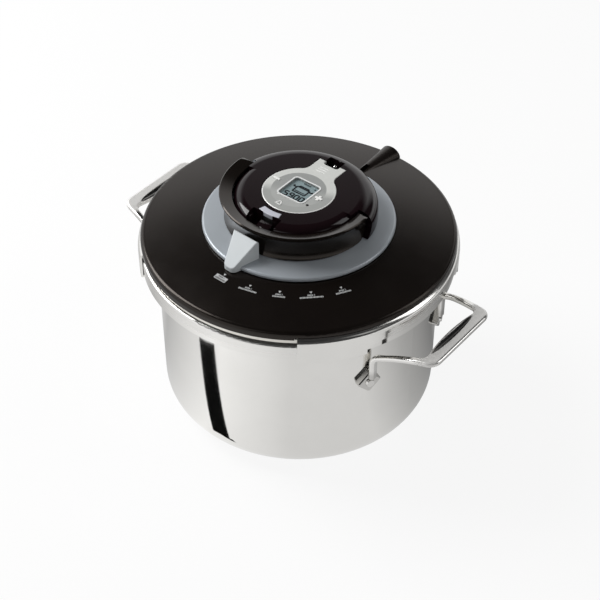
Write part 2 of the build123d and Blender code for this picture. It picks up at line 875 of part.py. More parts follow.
# Selector ring: satin ring that turns on the control base's hub
ring_outline = [
    (ring_inner_radius, z_ring),
    (ring_outer_radius, z_ring),
    (ring_outer_radius, z_ring + ring_edge_height),
    (ring_crown_radius, z_ring_top),
    (ring_lip_radius, z_ring_top),
    (ring_lip_radius, z_ring + ring_lip_height),
    (ring_inner_radius, z_ring + ring_lip_height),
]
with BuildPart() as selector_ring:
    revolve(
        outline(
            ring_outline,
            [(ring_outer_radius, z_ring + ring_edge_height, ring_edge_round)],
        ),
        axis=Axis.Z,
    )
write(selector_ring, "selector_ring")

# Pointer: wedge that stands on the ring and reaches over its edge
with BuildPart() as pointer_blank:
    z_tip = z_seat - cover_shoulder_drop + ring_gap
    with BuildSketch(Plane.YZ.offset(-pointer_root_width / 2)):
        with BuildLine():
            Polyline(
                (-pointer_tip_radius, z_tip),
                (-pointer_tip_radius, z_tip + pointer_tip_height),
                (-pointer_inner_radius, z_ring_top + pointer_root_height),
                (-pointer_inner_radius, z_tip),
                close=True,
            )
        make_face()
    extrude(amount=pointer_root_width)
    with BuildSketch(Plane.XY.offset(z_tip)):
        add(
            outline(
                [
                    (-pointer_root_width / 2, -pointer_inner_radius),
                    (-pointer_tip_width / 2, -pointer_tip_radius),
                    (pointer_tip_width / 2, -pointer_tip_radius),
                    (pointer_root_width / 2, -pointer_inner_radius),
                ],
                [
                    (-pointer_tip_width / 2, -pointer_tip_radius, pointer_tip_round),
                    (pointer_tip_width / 2, -pointer_tip_radius, pointer_tip_round),
                ],
                Plane.XY,
            )
        )
    extrude(amount=2 * pointer_root_height, mode=Mode.INTERSECT)
    fillet(pointer_blank.faces().sort_by(Axis.Z)[-1].edges(), pointer_top_round)
    add(selector_ring.part, mode=Mode.SUBTRACT)
    with Locations((0, 0, z_ring)):
        Cylinder(ring_outer_radius, 2 * (z_ring - z_tip), mode=Mode.SUBTRACT)

with BuildPart() as selector_pointer:
    with Locations(Rotation(0, 0, -pointer_angle)):
        add(pointer_blank.part)
write(selector_pointer, "selector_pointer")

# Tool that rounds the bail's ends about its pivot
with BuildPart() as bail_end_trim:
    with Locations((0, bail_lip_radius, z_pivot)):
        Box(4 * bail_lip_radius, 2 * bail_lip_radius, 4 * bail_height)
    with BuildSketch(Plane.YZ.offset(-2 * bail_lip_radius)):
        with Locations((0, z_pivot)):
            Circle(bail_end_radius)
    extrude(amount=4 * bail_lip_radius, mode=Mode.SUBTRACT)

# Bail: half ring with a hollow waist and a grip that slopes inwards, hinged at both ends
end_span = math.degrees(math.asin(bail_end_radius / bail_grip_radius)) + bail_end_over_span
with BuildPart() as bail_handle:
    with BuildSketch(upright(180 - end_span)):
        with BuildLine():
            lip_low = z_bail_top - bail_grip_thickness - bail_lip_drop
            grip_low = z_bail_top - bail_grip_drop - bail_grip_thickness
            inner_waist = bail_waist_radius - bail_wall
            inner_foot = bail_foot_radius - bail_wall
            ThreePointArc(
                (bail_foot_radius, z_bail),
                (bail_waist_radius, z_pivot),
                (bail_lip_radius - bail_lip_inset, lip_low),
            )
            Polyline(
                (bail_lip_radius - bail_lip_inset, lip_low),
                (bail_lip_radius, lip_low + bail_lip_bevel),
                (bail_lip_radius, z_bail_top - bail_rim_bevel_height),
                (bail_lip_radius - bail_rim_bevel_width, z_bail_top),
                (bail_grip_radius, z_bail_top - bail_grip_drop),
                (bail_grip_radius, grip_low),
                (inner_waist + bail_flare_width, lip_low - bail_flare_drop),
            )
            ThreePointArc(
                (inner_waist + bail_flare_width, lip_low - bail_flare_drop),
                (inner_waist, z_pivot),
                (inner_foot, z_bail),
            )
            Line((inner_foot, z_bail), (bail_foot_radius, z_bail))
        make_face()
    revolve(axis=Axis.Z, revolution_arc=180 + 2 * end_span)
    add(bail_end_trim.part, mode=Mode.SUBTRACT)
    pin_end = bail_waist_radius - bail_pin_skin
    with BuildSketch(Plane.YZ):
        with Locations((0, z_pivot)):
            Circle(bail_pin_radius + fit_clearance)
    extrude(amount=pin_end + fit_clearance, both=True, mode=Mode.SUBTRACT)
write(bail_handle, "bail_handle")

# Pivot pins: through the bail's ends and the housing's bosses into the barrel cams
cam_start = arm_post_x - cam_end_margin
cam_end = arm_post_x + jaw_travel + cam_end_margin
with BuildPart() as bail_pins:
    for side in (-1, 1):
        pin_plane = Plane(origin=(side * cam_start, 0, z_pivot), z_dir=(side, 0, 0))
        with BuildSketch(pin_plane):
            Circle(bail_pin_radius)
        extrude(amount=pin_end - cam_start)
    pin_rims = bail_pins.edges().filter_by(GeomType.CIRCLE).sort_by(Axis.X)
    fillet([pin_rims[0], pin_rims[-1]], bail_pin_round)
write(bail_pins, "bail_pins")

# Right barrel cam: a quarter-turn groove whose lead is the jaw's travel
cam_lead = 4 * jaw_travel
cam_turn = math.radians(cam_over_run)
groove_width = 2 * (arm_peg_radius + cam_groove_clearance)
groove_plane = Plane(
    origin=(arm_post_x - cam_lead * cam_over_run / 360, 0, z_pivot),
    x_dir=(0, -math.sin(cam_turn), -math.cos(cam_turn)),
    z_dir=(1, 0, 0),
)
groove_path = groove_plane * Helix(cam_lead, cam_lead * (90 + 2 * cam_over_run) / 360, cam_radius)
with BuildPart() as cam_right:
    with BuildSketch(Plane.YZ.offset(cam_start)):
        with Locations((0, z_pivot)):
            Circle(cam_radius)
            Circle(bail_pin_radius + fit_clearance, mode=Mode.SUBTRACT)
    extrude(amount=cam_end - cam_start)
    groove_start = groove_path @ 0
    radial = groove_start - Vector(groove_start.X, 0, z_pivot)
    with BuildSketch(Plane(origin=groove_start, x_dir=radial, z_dir=groove_path % 0)):
        Rectangle(2 * cam_groove_depth, groove_width)
    sweep(path=groove_path, is_frenet=True, mode=Mode.SUBTRACT)
write(cam_right, "cam_right")

with BuildPart() as cam_left:
    mirror(cam_right.part, about=Plane.YZ)
write(cam_left, "cam_left")

# Hollow of the control housing: what is left inside its walls, pockets, bosses and posts
z_recess = z_housing_top - recess_depth
z_button_block = z_recess - housing_wall
z_pin_slot = z_housing_top - pin_slot_depth
pocket_x = housing_front_radius - bail_gap
pocket_radius = bail_end_radius + bail_pocket_clearance
boss_start = cam_end + guide_clearance
tray_half_width = recess_half_width + housing_wall
tray_inner_radius = timer_radius + timer_clearance + pocket_wall


def dome(inset):
    """Half section of the housing: upright wall and a round shoulder, drawn in by a wall's thickness."""
    z_round = z_housing_top - housing_round
    side = housing_radius - inset
    top = z_housing_top - inset
    with BuildSketch(Plane.XZ, mode=Mode.PRIVATE) as sketch:
        with BuildLine():
            Polyline(
                (housing_radius - housing_round, top),
                (0, top),
                (0, z_base_top),
                (side, z_base_top),
                (side, z_round),
            )
            CenterArc((housing_radius - housing_round, z_round), housing_round - inset, 0, 90)
        make_face()
    return sketch.sketch


def front_cut(inset):
    """Section of the half ring that the bail folds into, outside the housing's rounded front."""
    side = housing_front_radius - inset
    round_x = housing_front_radius - housing_front_round
    z_round = z_housing_top - housing_front_round
    with BuildSketch(upright(180), mode=Mode.PRIVATE) as sketch:
        with BuildLine():
            Polyline(
                (side, z_round),
                (side, z_base_top - housing_top),
                (2 * housing_radius, z_base_top - housing_top),
                (2 * housing_radius, z_housing_top + housing_top),
                (round_x, z_housing_top + housing_top),
                (round_x, z_housing_top - inset),
            )
            CenterArc((round_x, z_round), housing_front_round - inset, 90, -90)
        make_face()
    return sketch.sketch


with BuildPart() as housing_hollow:
    revolve(dome(housing_wall), axis=Axis.Z)
    revolve(
        front_cut(housing_wall),
        axis=Axis.Z,
        revolution_arc=180,
        mode=Mode.SUBTRACT,
    )
    for side in (-1, 1):
        wall_plane = Plane(origin=(side * (pocket_x - housing_wall), 0, z_pivot), z_dir=(side, 0, 0))
        with BuildSketch(wall_plane):
            Circle(pocket_radius + housing_wall)
        extrude(amount=housing_radius, mode=Mode.SUBTRACT)
        boss_plane = Plane(origin=(side * boss_start, 0, z_pivot), z_dir=(side, 0, 0))
        with BuildSketch(boss_plane):
            Circle(pin_boss_radius)
        extrude(amount=housing_radius, mode=Mode.SUBTRACT)
    extrude(
        keyhole(timer_clearance + pocket_wall, Plane.XY.offset(z_pocket - pocket_wall)),
        amount=housing_top,
        mode=Mode.SUBTRACT,
    )
    with BuildSketch(Plane.XY.offset(z_pin_slot - pocket_wall)):
        with Locations((0, pin_y / 2)):
            Rectangle(
                2 * (pin_slot_half_width + pocket_wall),
                pin_slot_end + pocket_wall - pin_y / 2,
                align=(Align.CENTER, Align.MIN),
            )
    extrude(amount=housing_top, mode=Mode.SUBTRACT)
    with BuildSketch(Plane.XY.offset(z_base_top)):
        with PolarLocations(screw_circle_radius, 4, 45):
            Circle(screw_post_radius)
    extrude(amount=housing_top, mode=Mode.SUBTRACT)


def button_plan(grow, plane):
    """The release button's plan: a short arc in front of the timer, grown by some clearance."""
    reach = 2 * button_outer_radius
    spread = reach * math.tan(math.radians(button_half_span))
    side_grow = grow / math.cos(math.radians(button_half_span))
    with BuildSketch(plane, mode=Mode.PRIVATE) as sketch:
        Circle(button_outer_radius + grow)
        Circle(button_inner_radius - grow, mode=Mode.SUBTRACT)
        add(
            outline(
                [
                    (-side_grow, 0),
                    (-spread - side_grow, -reach),
                    (spread + side_grow, -reach),
                    (side_grow, 0),
                ],
                plane=Plane.XY,
            ),
            mode=Mode.INTERSECT,
        )
    return sketch.sketch


def tray_plan(half_width, inner_radius, z):
    """Plan of the recess tray at a level: a straight-sided gap in the housing's front."""
    with BuildSketch(Plane.XY.offset(z), mode=Mode.PRIVATE) as sketch:
        Rectangle(2 * half_width, housing_radius, align=(Align.CENTER, Align.MAX))
        Circle(inner_radius, mode=Mode.SUBTRACT)
    return sketch.sketch


# Control housing: moulded dome, cut back for the bail, with the timer's pocket and the tray's gap
with BuildPart() as control_housing:
    revolve(dome(0), axis=Axis.Z)
    revolve(front_cut(0), axis=Axis.Z, revolution_arc=180, mode=Mode.SUBTRACT)
    for side in (-1, 1):
        with BuildSketch(Plane(origin=(side * pocket_x, 0, z_pivot), z_dir=(side, 0, 0))):
            Circle(pocket_radius)
        extrude(amount=housing_radius, mode=Mode.SUBTRACT)
    add(housing_hollow.part, mode=Mode.SUBTRACT)
    extrude(
        keyhole(timer_clearance, Plane.XY.offset(z_pocket)),
        amount=housing_top,
        mode=Mode.SUBTRACT,
    )
    extrude(
        tray_plan(tray_half_width + fit_clearance, tray_inner_radius, z_base_top),
        amount=housing_top,
        mode=Mode.SUBTRACT,
    )
    with BuildSketch(Plane.XY.offset(z_pin_slot)):
        with Locations((0, timer_tongue_reach - timer_notch_depth)):
            Rectangle(
                2 * pin_slot_half_width,
                pin_slot_end - timer_tongue_reach + timer_notch_depth,
                align=(Align.CENTER, Align.MIN),
            )
    extrude(amount=housing_top, mode=Mode.SUBTRACT)
    with Locations((0, pin_y, z_pin_slot)):
        Cylinder(pin_radius + passage_clearance, 4 * pocket_wall, mode=Mode.SUBTRACT)
    with BuildSketch(Plane.YZ.offset(-housing_radius)):
        with Locations((0, z_pivot)):
            Circle(bail_pin_radius + fit_clearance)
    extrude(amount=housing_radius - timer_radius - 2 * pocket_wall, mode=Mode.SUBTRACT)
    with BuildSketch(Plane.YZ.offset(housing_radius)):
        with Locations((0, z_pivot)):
            Circle(bail_pin_radius + fit_clearance)
    extrude(amount=-(housing_radius - timer_radius - 2 * pocket_wall), mode=Mode.SUBTRACT)
    with BuildSketch(Plane.XY.offset(z_base_top)):
        with PolarLocations(screw_circle_radius, 4, 45):
            Circle(screw_radius + fit_clearance)
    extrude(amount=screw_length + screw_head_height + fit_clearance + z_seat - z_base_top, mode=Mode.SUBTRACT)
write(control_housing, "control_housing")

# Recess tray: fills the housing's gap, with the finger recess in front and the button's guide behind
with BuildPart() as recess_tray:
    revolve(dome(0), axis=Axis.Z)
    revolve(front_cut(0), axis=Axis.Z, revolution_arc=180, mode=Mode.SUBTRACT)
    extrude(
        tray_plan(tray_half_width, tray_inner_radius + fit_clearance, z_base_top),
        amount=housing_top,
        mode=Mode.INTERSECT,
    )
    extrude(
        button_plan(button_clearance, Plane.XY.offset(z_base_top)),
        amount=housing_top,
        mode=Mode.SUBTRACT,
    )
    with BuildSketch(Plane.XY.offset(z_recess)):
        with Locations((0, -button_outer_radius)):
            Rectangle(2 * recess_half_width, housing_radius, align=(Align.CENTER, Align.MAX))
    extrude(amount=housing_top, mode=Mode.SUBTRACT)
    with BuildSketch(Plane.XY.offset(z_base_top)):
        Circle(housing_front_radius - housing_wall)
        Rectangle(2 * recess_half_width, 2 * housing_radius, mode=Mode.INTERSECT)
    extrude(amount=z_button_block - z_base_top, mode=Mode.SUBTRACT)
write(recess_tray, "recess_tray")

# Release button: pale arc-shaped cap on a dark stem whose flange keeps it under the housing
z_button_flange = z_button_block - fit_clearance
z_button_low = z_button_flange - button_flange_height
z_button_cap = z_timer_top - button_cap_height
with BuildPart() as release_button:
    extrude(button_plan(0, Plane.XY.offset(z_button_cap)), amount=button_cap_height)
    fillet(release_button.edges().group_by(Axis.Z)[-1], button_round)
write(release_button, "release_button")

with BuildPart() as release_stem:
    extrude(button_plan(0, Plane.XY.offset(z_button_flange)), amount=z_button_cap - z_button_flange)
    extrude(button_plan(button_flange, Plane.XY.offset(z_button_low)), amount=button_flange_height)
write(release_stem, "release_stem")

# Release spring: stands on the control base under the button
spring_y = -(button_inner_radius + button_outer_radius) / 2
with BuildPart() as release_spring:
    with BuildSketch(Plane.XY.offset(z_base_top)):
        with Locations((0, spring_y)):
            Circle(spring_radius)
            Circle(spring_radius - spring_wall, mode=Mode.SUBTRACT)
    extrude(amount=z_button_low - z_base_top)
write(release_spring, "release_spring")

# Timer: case, face, bezel, lens, display, board, battery, battery cover and two keys
z_face = z_timer_top - timer_face_thickness
notch_y = timer_tongue_reach - timer_notch_depth
battery_y = -(timer_radius - battery_cover_radius) / 3


def window_plan(grow, plane):
    """The display window's plan, grown all round."""
    with BuildSketch(plane, mode=Mode.PRIVATE) as sketch:
        RectangleRounded(
            2 * (window_half_width + grow),
            2 * (window_half_length + grow),
            window_radius + grow,
        )
    return sketch.sketch


def key_plan(side, grow, plane):
    """A minus bar on the left or a plus sign on the right, grown all round."""
    key_x = plus_key_x if side > 0 else minus_key_x
    long = key_length + 2 * grow
    short = key_width + 2 * grow
    with BuildSketch(plane, mode=Mode.PRIVATE) as sketch:
        with Locations((key_x, key_y)):
            Rectangle(long, short)
            if side > 0:
                Rectangle(short, long)
    return sketch.sketch


with BuildPart() as timer_case:
    extrude(keyhole(0, Plane.XY.offset(z_timer)), amount=z_face - z_timer)
    extrude(
        keyhole(-timer_wall, Plane.XY.offset(z_timer + timer_wall), notch_y),
        amount=timer_height,
        mode=Mode.SUBTRACT,
    )
    with BuildSketch(Plane.XY.offset(z_timer)):
        with Locations((0, timer_tongue_reach)):
            Rectangle(2 * timer_notch_half_width, 2 * timer_notch_depth)
    extrude(amount=timer_height, mode=Mode.SUBTRACT)
    with Locations((0, battery_y, z_timer)):
        Cylinder(battery_cover_radius + fit_clearance, 2 * timer_wall, mode=Mode.SUBTRACT)
write(timer_case, "timer_case")

with BuildPart() as timer_face:
    extrude(keyhole(0, Plane.XY.offset(z_face)), amount=timer_face_thickness)
    with BuildSketch(Plane.XY.offset(z_face)):
        with Locations((0, timer_tongue_reach)):
            RectangleRounded(2 * timer_notch_half_width, 2 * timer_notch_depth, timer_notch_depth / 2)
    extrude(amount=timer_face_thickness, mode=Mode.SUBTRACT)
    fillet(timer_face.faces().sort_by(Axis.Z)[-1].edges(), timer_face_round)
    extrude(
        window_plan(0, Plane.XY.offset(z_face)),
        amount=timer_face_thickness,
        mode=Mode.SUBTRACT,
    )
    for side in (-1, 1):
        extrude(
            key_plan(side, key_clearance, Plane.XY.offset(z_face)),
            amount=timer_face_thickness,
            mode=Mode.SUBTRACT,
        )
write(timer_face, "timer_face")

with BuildPart() as timer_bezel:
    extrude(window_plan(bezel_width, Plane.XY.offset(z_timer_top)), amount=bezel_proud)
    extrude(
        window_plan(0, Plane.XY.offset(z_timer_top)),
        amount=bezel_proud,
        mode=Mode.SUBTRACT,
    )
write(timer_bezel, "timer_bezel")

z_lens = z_face + lcd_gap
with BuildPart() as timer_lens:
    extrude(window_plan(-fit_clearance, Plane.XY.offset(z_lens)), amount=lens_thickness)
write(timer_lens, "timer_lens")

z_lcd = z_face - fit_clearance - lcd_thickness
with BuildPart() as lcd_panel:
    with BuildSketch(Plane.XY.offset(z_lcd)):
        Rectangle(2 * (window_half_width + lcd_margin), 2 * (window_half_length + lcd_margin))
    extrude(amount=lcd_thickness)
write(lcd_panel, "lcd_panel")

z_board = z_lcd - lcd_gap - board_thickness
with BuildPart() as circuit_board:
    board_shrink = -timer_wall - board_margin
    extrude(keyhole(board_shrink, Plane.XY.offset(z_board), notch_y), amount=board_thickness)
write(circuit_board, "circuit_board")

z_battery = z_board - lcd_gap - battery_height
with BuildPart() as battery:
    with BuildSketch(Plane.XY.offset(z_battery)):
        with Locations((0, battery_y)):
            Circle(battery_radius)
    extrude(amount=battery_height)
write(battery, "battery")

with BuildPart() as battery_cover:
    with BuildSketch(Plane.XY.offset(z_timer)):
        with Locations((0, battery_y)):
            Circle(battery_cover_radius)
    extrude(amount=battery_cover_thickness)
    with BuildSketch(Plane.XY.offset(z_timer)):
        with Locations((0, battery_y)):
            Rectangle(battery_radius, battery_cover_thickness)
    extrude(amount=battery_cover_thickness / 2, mode=Mode.SUBTRACT)
write(battery_cover, "battery_cover")

z_key = z_board + board_thickness + key_travel + fit_clearance
for side, key_name in ((-1, "timer_minus_key"), (1, "timer_plus_key")):
    with BuildPart() as timer_key:
        extrude(key_plan(side, 0, Plane.XY.offset(z_key)), amount=z_timer_top + key_proud - z_key)
        fillet(timer_key.edges().group_by(Axis.Z)[-1], key_round)
    write(timer_key, key_name)

# Pressure pin and the bush in the lid pan that guides it
with BuildPart() as pin_bush:
    revolve(
        outline(
            [
                (pin_radius + fit_clearance, z_pan_low - bush_flange_height),
                (bush_flange_radius, z_pan_low - bush_flange_height),
                (bush_flange_radius, z_pan_low),
                (bush_radius, z_pan_low),
                (bush_radius, z_pan_low + bush_length),
                (pin_radius + fit_clearance, z_pan_low + bush_length),
            ],
            plane=Plane.XZ.offset(-pin_y),
        ),
        axis=Axis((0, pin_y, 0), (0, 0, 1)),
    )
write(pin_bush, "pin_bush")

with BuildPart() as pressure_pin:
    with BuildSketch(Plane.XY.offset(z_pan_low - pin_sink)):
        with Locations((0, pin_y)):
            Circle(pin_radius)
    extrude(amount=z_housing_top - pin_top_drop - z_pan_low + pin_sink)
    fillet(pressure_pin.edges().group_by(Axis.Z)[-1], pin_round)
write(pressure_pin, "pressure_pin")

# Pressure valve and safety valve: body, poppet and spring each, and one cap each
z_valve_seat = z_pan_low + valve_seat_height
z_valve_top = z_pan_low + valve_height
z_valve_cap = z_valve_top - valve_cap_height
z_poppet = z_valve_seat + fit_clearance
z_poppet_top = z_poppet + poppet_height
poppet_radius = valve_chamber_radius - 2 * key_clearance
for x, y, valve_name in ((0, valve_y, "valve"), (safety_x, safety_y, "safety_valve")):
    plane = Plane(origin=(x, y, 0), x_dir=(1, 0, 0), z_dir=(0, -1, 0))
    axis = Axis((x, y, 0), (0, 0, 1))
    with BuildPart() as valve_body:
        revolve(
            outline(
                [
                    (valve_inlet_radius, z_pan_low - valve_flange_height),
                    (valve_flange_radius, z_pan_low - valve_flange_height),
                    (valve_flange_radius, z_pan_low),
                    (valve_radius, z_pan_low),
                    (valve_radius, z_valve_top),
                    (valve_chamber_radius, z_valve_top),
                    (valve_chamber_radius, z_valve_seat),
                    (valve_inlet_radius, z_valve_seat),
                ],
                plane=plane,
            ),
            axis=axis,
        )
    write(valve_body, f"{valve_name}_body")
    with BuildPart() as valve_poppet:
        revolve(
            outline(
                [
                    (0, z_poppet),
                    (poppet_radius, z_poppet),
                    (poppet_radius, z_poppet_top),
                    (poppet_stem_radius, z_poppet_top),
                    (poppet_stem_radius, z_poppet_top + poppet_stem_length),
                    (0, z_poppet_top + poppet_stem_length),
                ],
                plane=plane,
            ),
            axis=axis,
        )
    write(valve_poppet, f"{valve_name}_poppet")
    with BuildPart() as valve_spring:
        with BuildSketch(Plane.XY.offset(z_poppet_top)):
            with Locations((x, y)):
                Circle(poppet_stem_radius + key_clearance + spring_wall)
                Circle(poppet_stem_radius + key_clearance, mode=Mode.SUBTRACT)
        extrude(amount=z_valve_cap - z_poppet_top)
    write(valve_spring, f"{valve_name}_spring")

with BuildPart() as valve_caps:
    with BuildSketch(Plane.XY.offset(z_valve_cap)):
        with Locations((0, valve_y), (safety_x, safety_y)):
            Circle(valve_chamber_radius - fit_clearance)
            Circle(poppet_stem_radius + fit_clearance, mode=Mode.SUBTRACT)
    extrude(amount=valve_cap_height)
write(valve_caps, "valve_caps")
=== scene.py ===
"""Looks of the stovetop pressure cooker: finishes for every CAD piece, the printed and raised
signs on its lid and timer, and a plain studio. Metres, in the part's own frame."""

import math

import bpy
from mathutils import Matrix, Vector


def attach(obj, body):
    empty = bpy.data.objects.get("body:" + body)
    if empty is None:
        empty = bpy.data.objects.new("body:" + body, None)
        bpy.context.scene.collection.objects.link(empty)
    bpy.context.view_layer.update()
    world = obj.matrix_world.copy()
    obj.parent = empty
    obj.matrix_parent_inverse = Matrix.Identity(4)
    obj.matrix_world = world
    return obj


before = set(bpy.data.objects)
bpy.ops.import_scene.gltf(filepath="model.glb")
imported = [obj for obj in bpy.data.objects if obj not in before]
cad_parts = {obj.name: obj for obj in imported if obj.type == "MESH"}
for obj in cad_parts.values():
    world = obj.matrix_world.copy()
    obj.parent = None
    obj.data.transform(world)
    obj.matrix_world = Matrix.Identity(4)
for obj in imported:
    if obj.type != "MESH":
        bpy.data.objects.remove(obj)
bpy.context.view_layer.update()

MM = 0.001

# Levels of the part that finishes and signs follow
POT_HEIGHT = 170 * MM
BRIM_DEPTH = 10 * MM
Z_COVER_CLEAR = 215 * MM
Z_FACE = 222.2 * MM
Z_INK = 220.17 * MM
Z_RECESS = 210.5 * MM


# Modelling helpers


def drop_selection():
    """Leave edit mode and select nothing."""
    if bpy.context.object and bpy.context.object.mode != "OBJECT":
        bpy.ops.object.mode_set(mode="OBJECT")
    bpy.ops.object.select_all(action="DESELECT")


def select_only(piece):
    """Select one piece and make it the active one."""
    drop_selection()
    bpy.context.view_layer.objects.active = piece
    piece.select_set(True)


def named(name):
    """Name the piece that was just added and settle its size and place into its mesh."""
    piece = bpy.context.active_object
    piece.name = name
    piece.data.name = name
    bpy.ops.object.transform_apply(location=True, rotation=True, scale=True)
    return piece


def plate(name, width, length, x, y, z):
    """A flat rectangle to start from."""
    drop_selection()
    bpy.ops.mesh.primitive_plane_add(size=1, location=(x, y, z))
    bpy.context.active_object.scale = (width, length, 1)
    return named(name)


def disc(name, corners, radius, x, y, z, turn=0.0):
    """A flat polygon or disc to start from."""
    drop_selection()
    bpy.ops.mesh.primitive_circle_add(
        vertices=corners, radius=radius, fill_type="NGON", location=(x, y, z), rotation=(0, 0, turn)
    )
    return named(name)


def block(name, width, length, height, x, y, z):
    """A rectangular block to start from, standing on z."""
    drop_selection()
    bpy.ops.mesh.primitive_cube_add(size=1, location=(x, y, z + height / 2))
    bpy.context.active_object.scale = (width, length, height)
    return named(name)


def edit(piece, mode="VERT"):
    """Open a piece in edit mode with nothing selected."""
    select_only(piece)
    bpy.ops.object.mode_set(mode="EDIT")
    bpy.ops.mesh.select_mode(type=mode)
    bpy.ops.mesh.select_all(action="DESELECT")


def edit_edges(piece, wanted):
    """Open a piece in edit mode with the edges selected that the test wants, by middle and run."""
    edit(piece, "EDGE")
    bpy.ops.object.mode_set(mode="OBJECT")
    mesh = piece.data
    for edge in mesh.edges:
        start, end = (mesh.vertices[i].co for i in edge.vertices)
        edge.select = wanted((start + end) / 2, end - start)
    bpy.ops.object.mode_set(mode="EDIT")
    bpy.ops.mesh.select_mode(type="EDGE")


def face_outwards():
    """Turn every face of the piece in edit mode outwards, and leave edit mode."""
    bpy.ops.mesh.select_all(action="SELECT")
    bpy.ops.mesh.normals_make_consistent(inside=False)
    drop_selection()


def raise_up(piece, height):
    """Give a flat piece its thickness upwards."""
    edit(piece, "FACE")
    bpy.ops.mesh.select_all(action="SELECT")
    bpy.ops.mesh.extrude_region_move(TRANSFORM_OT_translate={"value": (0, 0, height)})
    face_outwards()


def border(piece, width):
    """Part a border from the middle of a flat piece, and leave the middle selected in edit mode."""
    edit(piece, "FACE")
    bpy.ops.mesh.select_all(action="SELECT")
    bpy.ops.mesh.inset(thickness=width, depth=0)


def clip_corners(piece, size, steps=1):
    """Cut or round the corners of a flat piece."""
    edit(piece)
    bpy.ops.mesh.select_all(action="SELECT")
    bpy.ops.mesh.bevel(offset=size, segments=steps, affect="VERTICES")
    drop_selection()


SOFTEN_STEPS = 3
SOFTEN_FROM = math.radians(35)
SMOOTH_BELOW = math.radians(40)


def soften(piece, size):
    """Round every edge of a finished block a little."""
    select_only(piece)
    bevel = piece.modifiers.new("soft edges", "BEVEL")
    bevel.width = size
    bevel.segments = SOFTEN_STEPS
    bevel.limit_method = "ANGLE"
    bevel.angle_limit = SOFTEN_FROM
    bpy.ops.object.modifier_apply(modifier=bevel.name)
    bpy.ops.object.shade_smooth_by_angle(angle=SMOOTH_BELOW)
    drop_selection()


def twin(piece, name, x=0.0, y=0.0, turn=0.0, spread=(1, 1, 1)):
    """A copy of a piece with its own mesh, turned about the part's axis and then moved."""
    copy = piece.copy()
    copy.data = piece.data.copy()
    bpy.context.collection.objects.link(copy)
    copy.name = name
    copy.data.name = name
    select_only(copy)
    copy.scale = spread
    copy.rotation_euler = (0, 0, turn)
    copy.location = (x, y, 0)
    bpy.ops.object.transform_apply(location=True, rotation=True, scale=True)
    return copy


def discard(piece):
    """Take away a piece that was only a start for others."""
    bpy.data.objects.remove(piece, do_unlink=True)


def merge(name, parts):
    """Join pieces that are one print or one moulding."""
    drop_selection()
    for part in parts:
        part.select_set(True)
    bpy.context.view_layer.objects.active = parts[0]
    bpy.ops.object.join()
    whole = bpy.context.active_object
    whole.name = name
    whole.data.name = name
    drop_selection()
    return whole


NUMERAL_STEPS = 4


def numeral(name, text, size, x, y, z):
    """A plain number laid flat, made a mesh."""
    drop_selection()
    bpy.ops.object.text_add(location=(x, y, z))
    words = bpy.context.active_object
    words.data.body = text
    words.data.size = size
    words.data.align_x = "CENTER"
    words.data.align_y = "CENTER"
    words.data.resolution_u = NUMERAL_STEPS
    bpy.ops.object.convert(target="MESH")
    return named(name)


def lay_on(piece, carrier, lift):
    """Drop a flat print straight down on the surface that carries it, and give it its film."""
    select_only(piece)
    wrap = piece.modifiers.new("lay", "SHRINKWRAP")
    wrap.target = carrier
    wrap.wrap_method = "PROJECT"
    wrap.use_project_z = True
    wrap.use_negative_direction = True
    wrap.use_positive_direction = False
    wrap.offset = lift
    bpy.ops.object.modifier_apply(modifier=wrap.name)
    film = piece.modifiers.new("film", "SOLIDIFY")
    film.thickness = lift
    film.offset = 1
    bpy.ops.object.modifier_apply(modifier=film.name)
    drop_selection()


# Node helpers


def feed_input(tree, socket, value):
    """Link a socket to an input, or write a number on it."""
    if isinstance(value, (int, float)):
        socket.default_value = value
    else:
        tree.links.new(value, socket)


def calc(tree, operation, first, second=None):
    """A Math node between sockets or numbers."""
    node = tree.nodes.new("ShaderNodeMath")
    node.operation = operation
    feed_input(tree, node.inputs[0], first)
    if second is not None:
        feed_input(tree, node.inputs[1], second)
    return node.outputs[0]


def fit(tree, value, span, to_low, to_high):
    """A Map Range node from a span of two numbers; what it maps to may be sockets."""
    node = tree.nodes.new("ShaderNodeMapRange")
    tree.links.new(value, node.inputs["Value"])
    node.inputs["From Min"].default_value, node.inputs["From Max"].default_value = span
    feed_input(tree, node.inputs["To Min"], to_low)
    feed_input(tree, node.inputs["To Max"], to_high)
    return node.outputs["Result"]


def noise(tree, vector, scale, detail, rough):
    """A Noise Texture's value; the scale may be a socket."""
    node = tree.nodes.new("ShaderNodeTexNoise")
    tree.links.new(vector, node.inputs["Vector"])
    feed_input(tree, node.inputs["Scale"], scale)
    node.inputs["Detail"].default_value = detail
    node.inputs["Roughness"].default_value = rough
    return node.outputs["Fac"]


def split(tree, vector):
    """The X, Y and Z of a vector."""
    node = tree.nodes.new("ShaderNodeSeparateXYZ")
    tree.links.new(vector, node.inputs[0])
    return node.outputs["X"], node.outputs["Y"], node.outputs["Z"]


def square_sum(tree, first, second):
    """The sum of two squares."""
    first = calc(tree, "MULTIPLY", first, first)
    return calc(tree, "ADD", first, calc(tree, "MULTIPLY", second, second))


def distance(tree, x, y, middle_x=0.0, middle_y=0.0):
    """How far a place is from an upright axis."""
    across = calc(tree, "SUBTRACT", x, middle_x)
    along = calc(tree, "SUBTRACT", y, middle_y)
    return calc(tree, "SQRT", square_sum(tree, across, along))


def toward(tree, x, y, turn):
    """How far a place lies in a direction, given in degrees from the cook's side to the right."""
    angle = math.radians(turn)
    across = calc(tree, "MULTIPLY", x, math.sin(angle))
    return calc(tree, "SUBTRACT", across, calc(tree, "MULTIPLY", y, math.cos(angle)))


def highest(tree, first, *others):
    """The highest of several values."""
    for other in others:
        first = calc(tree, "MAXIMUM", first, other)
    return first


# Shared surface effects

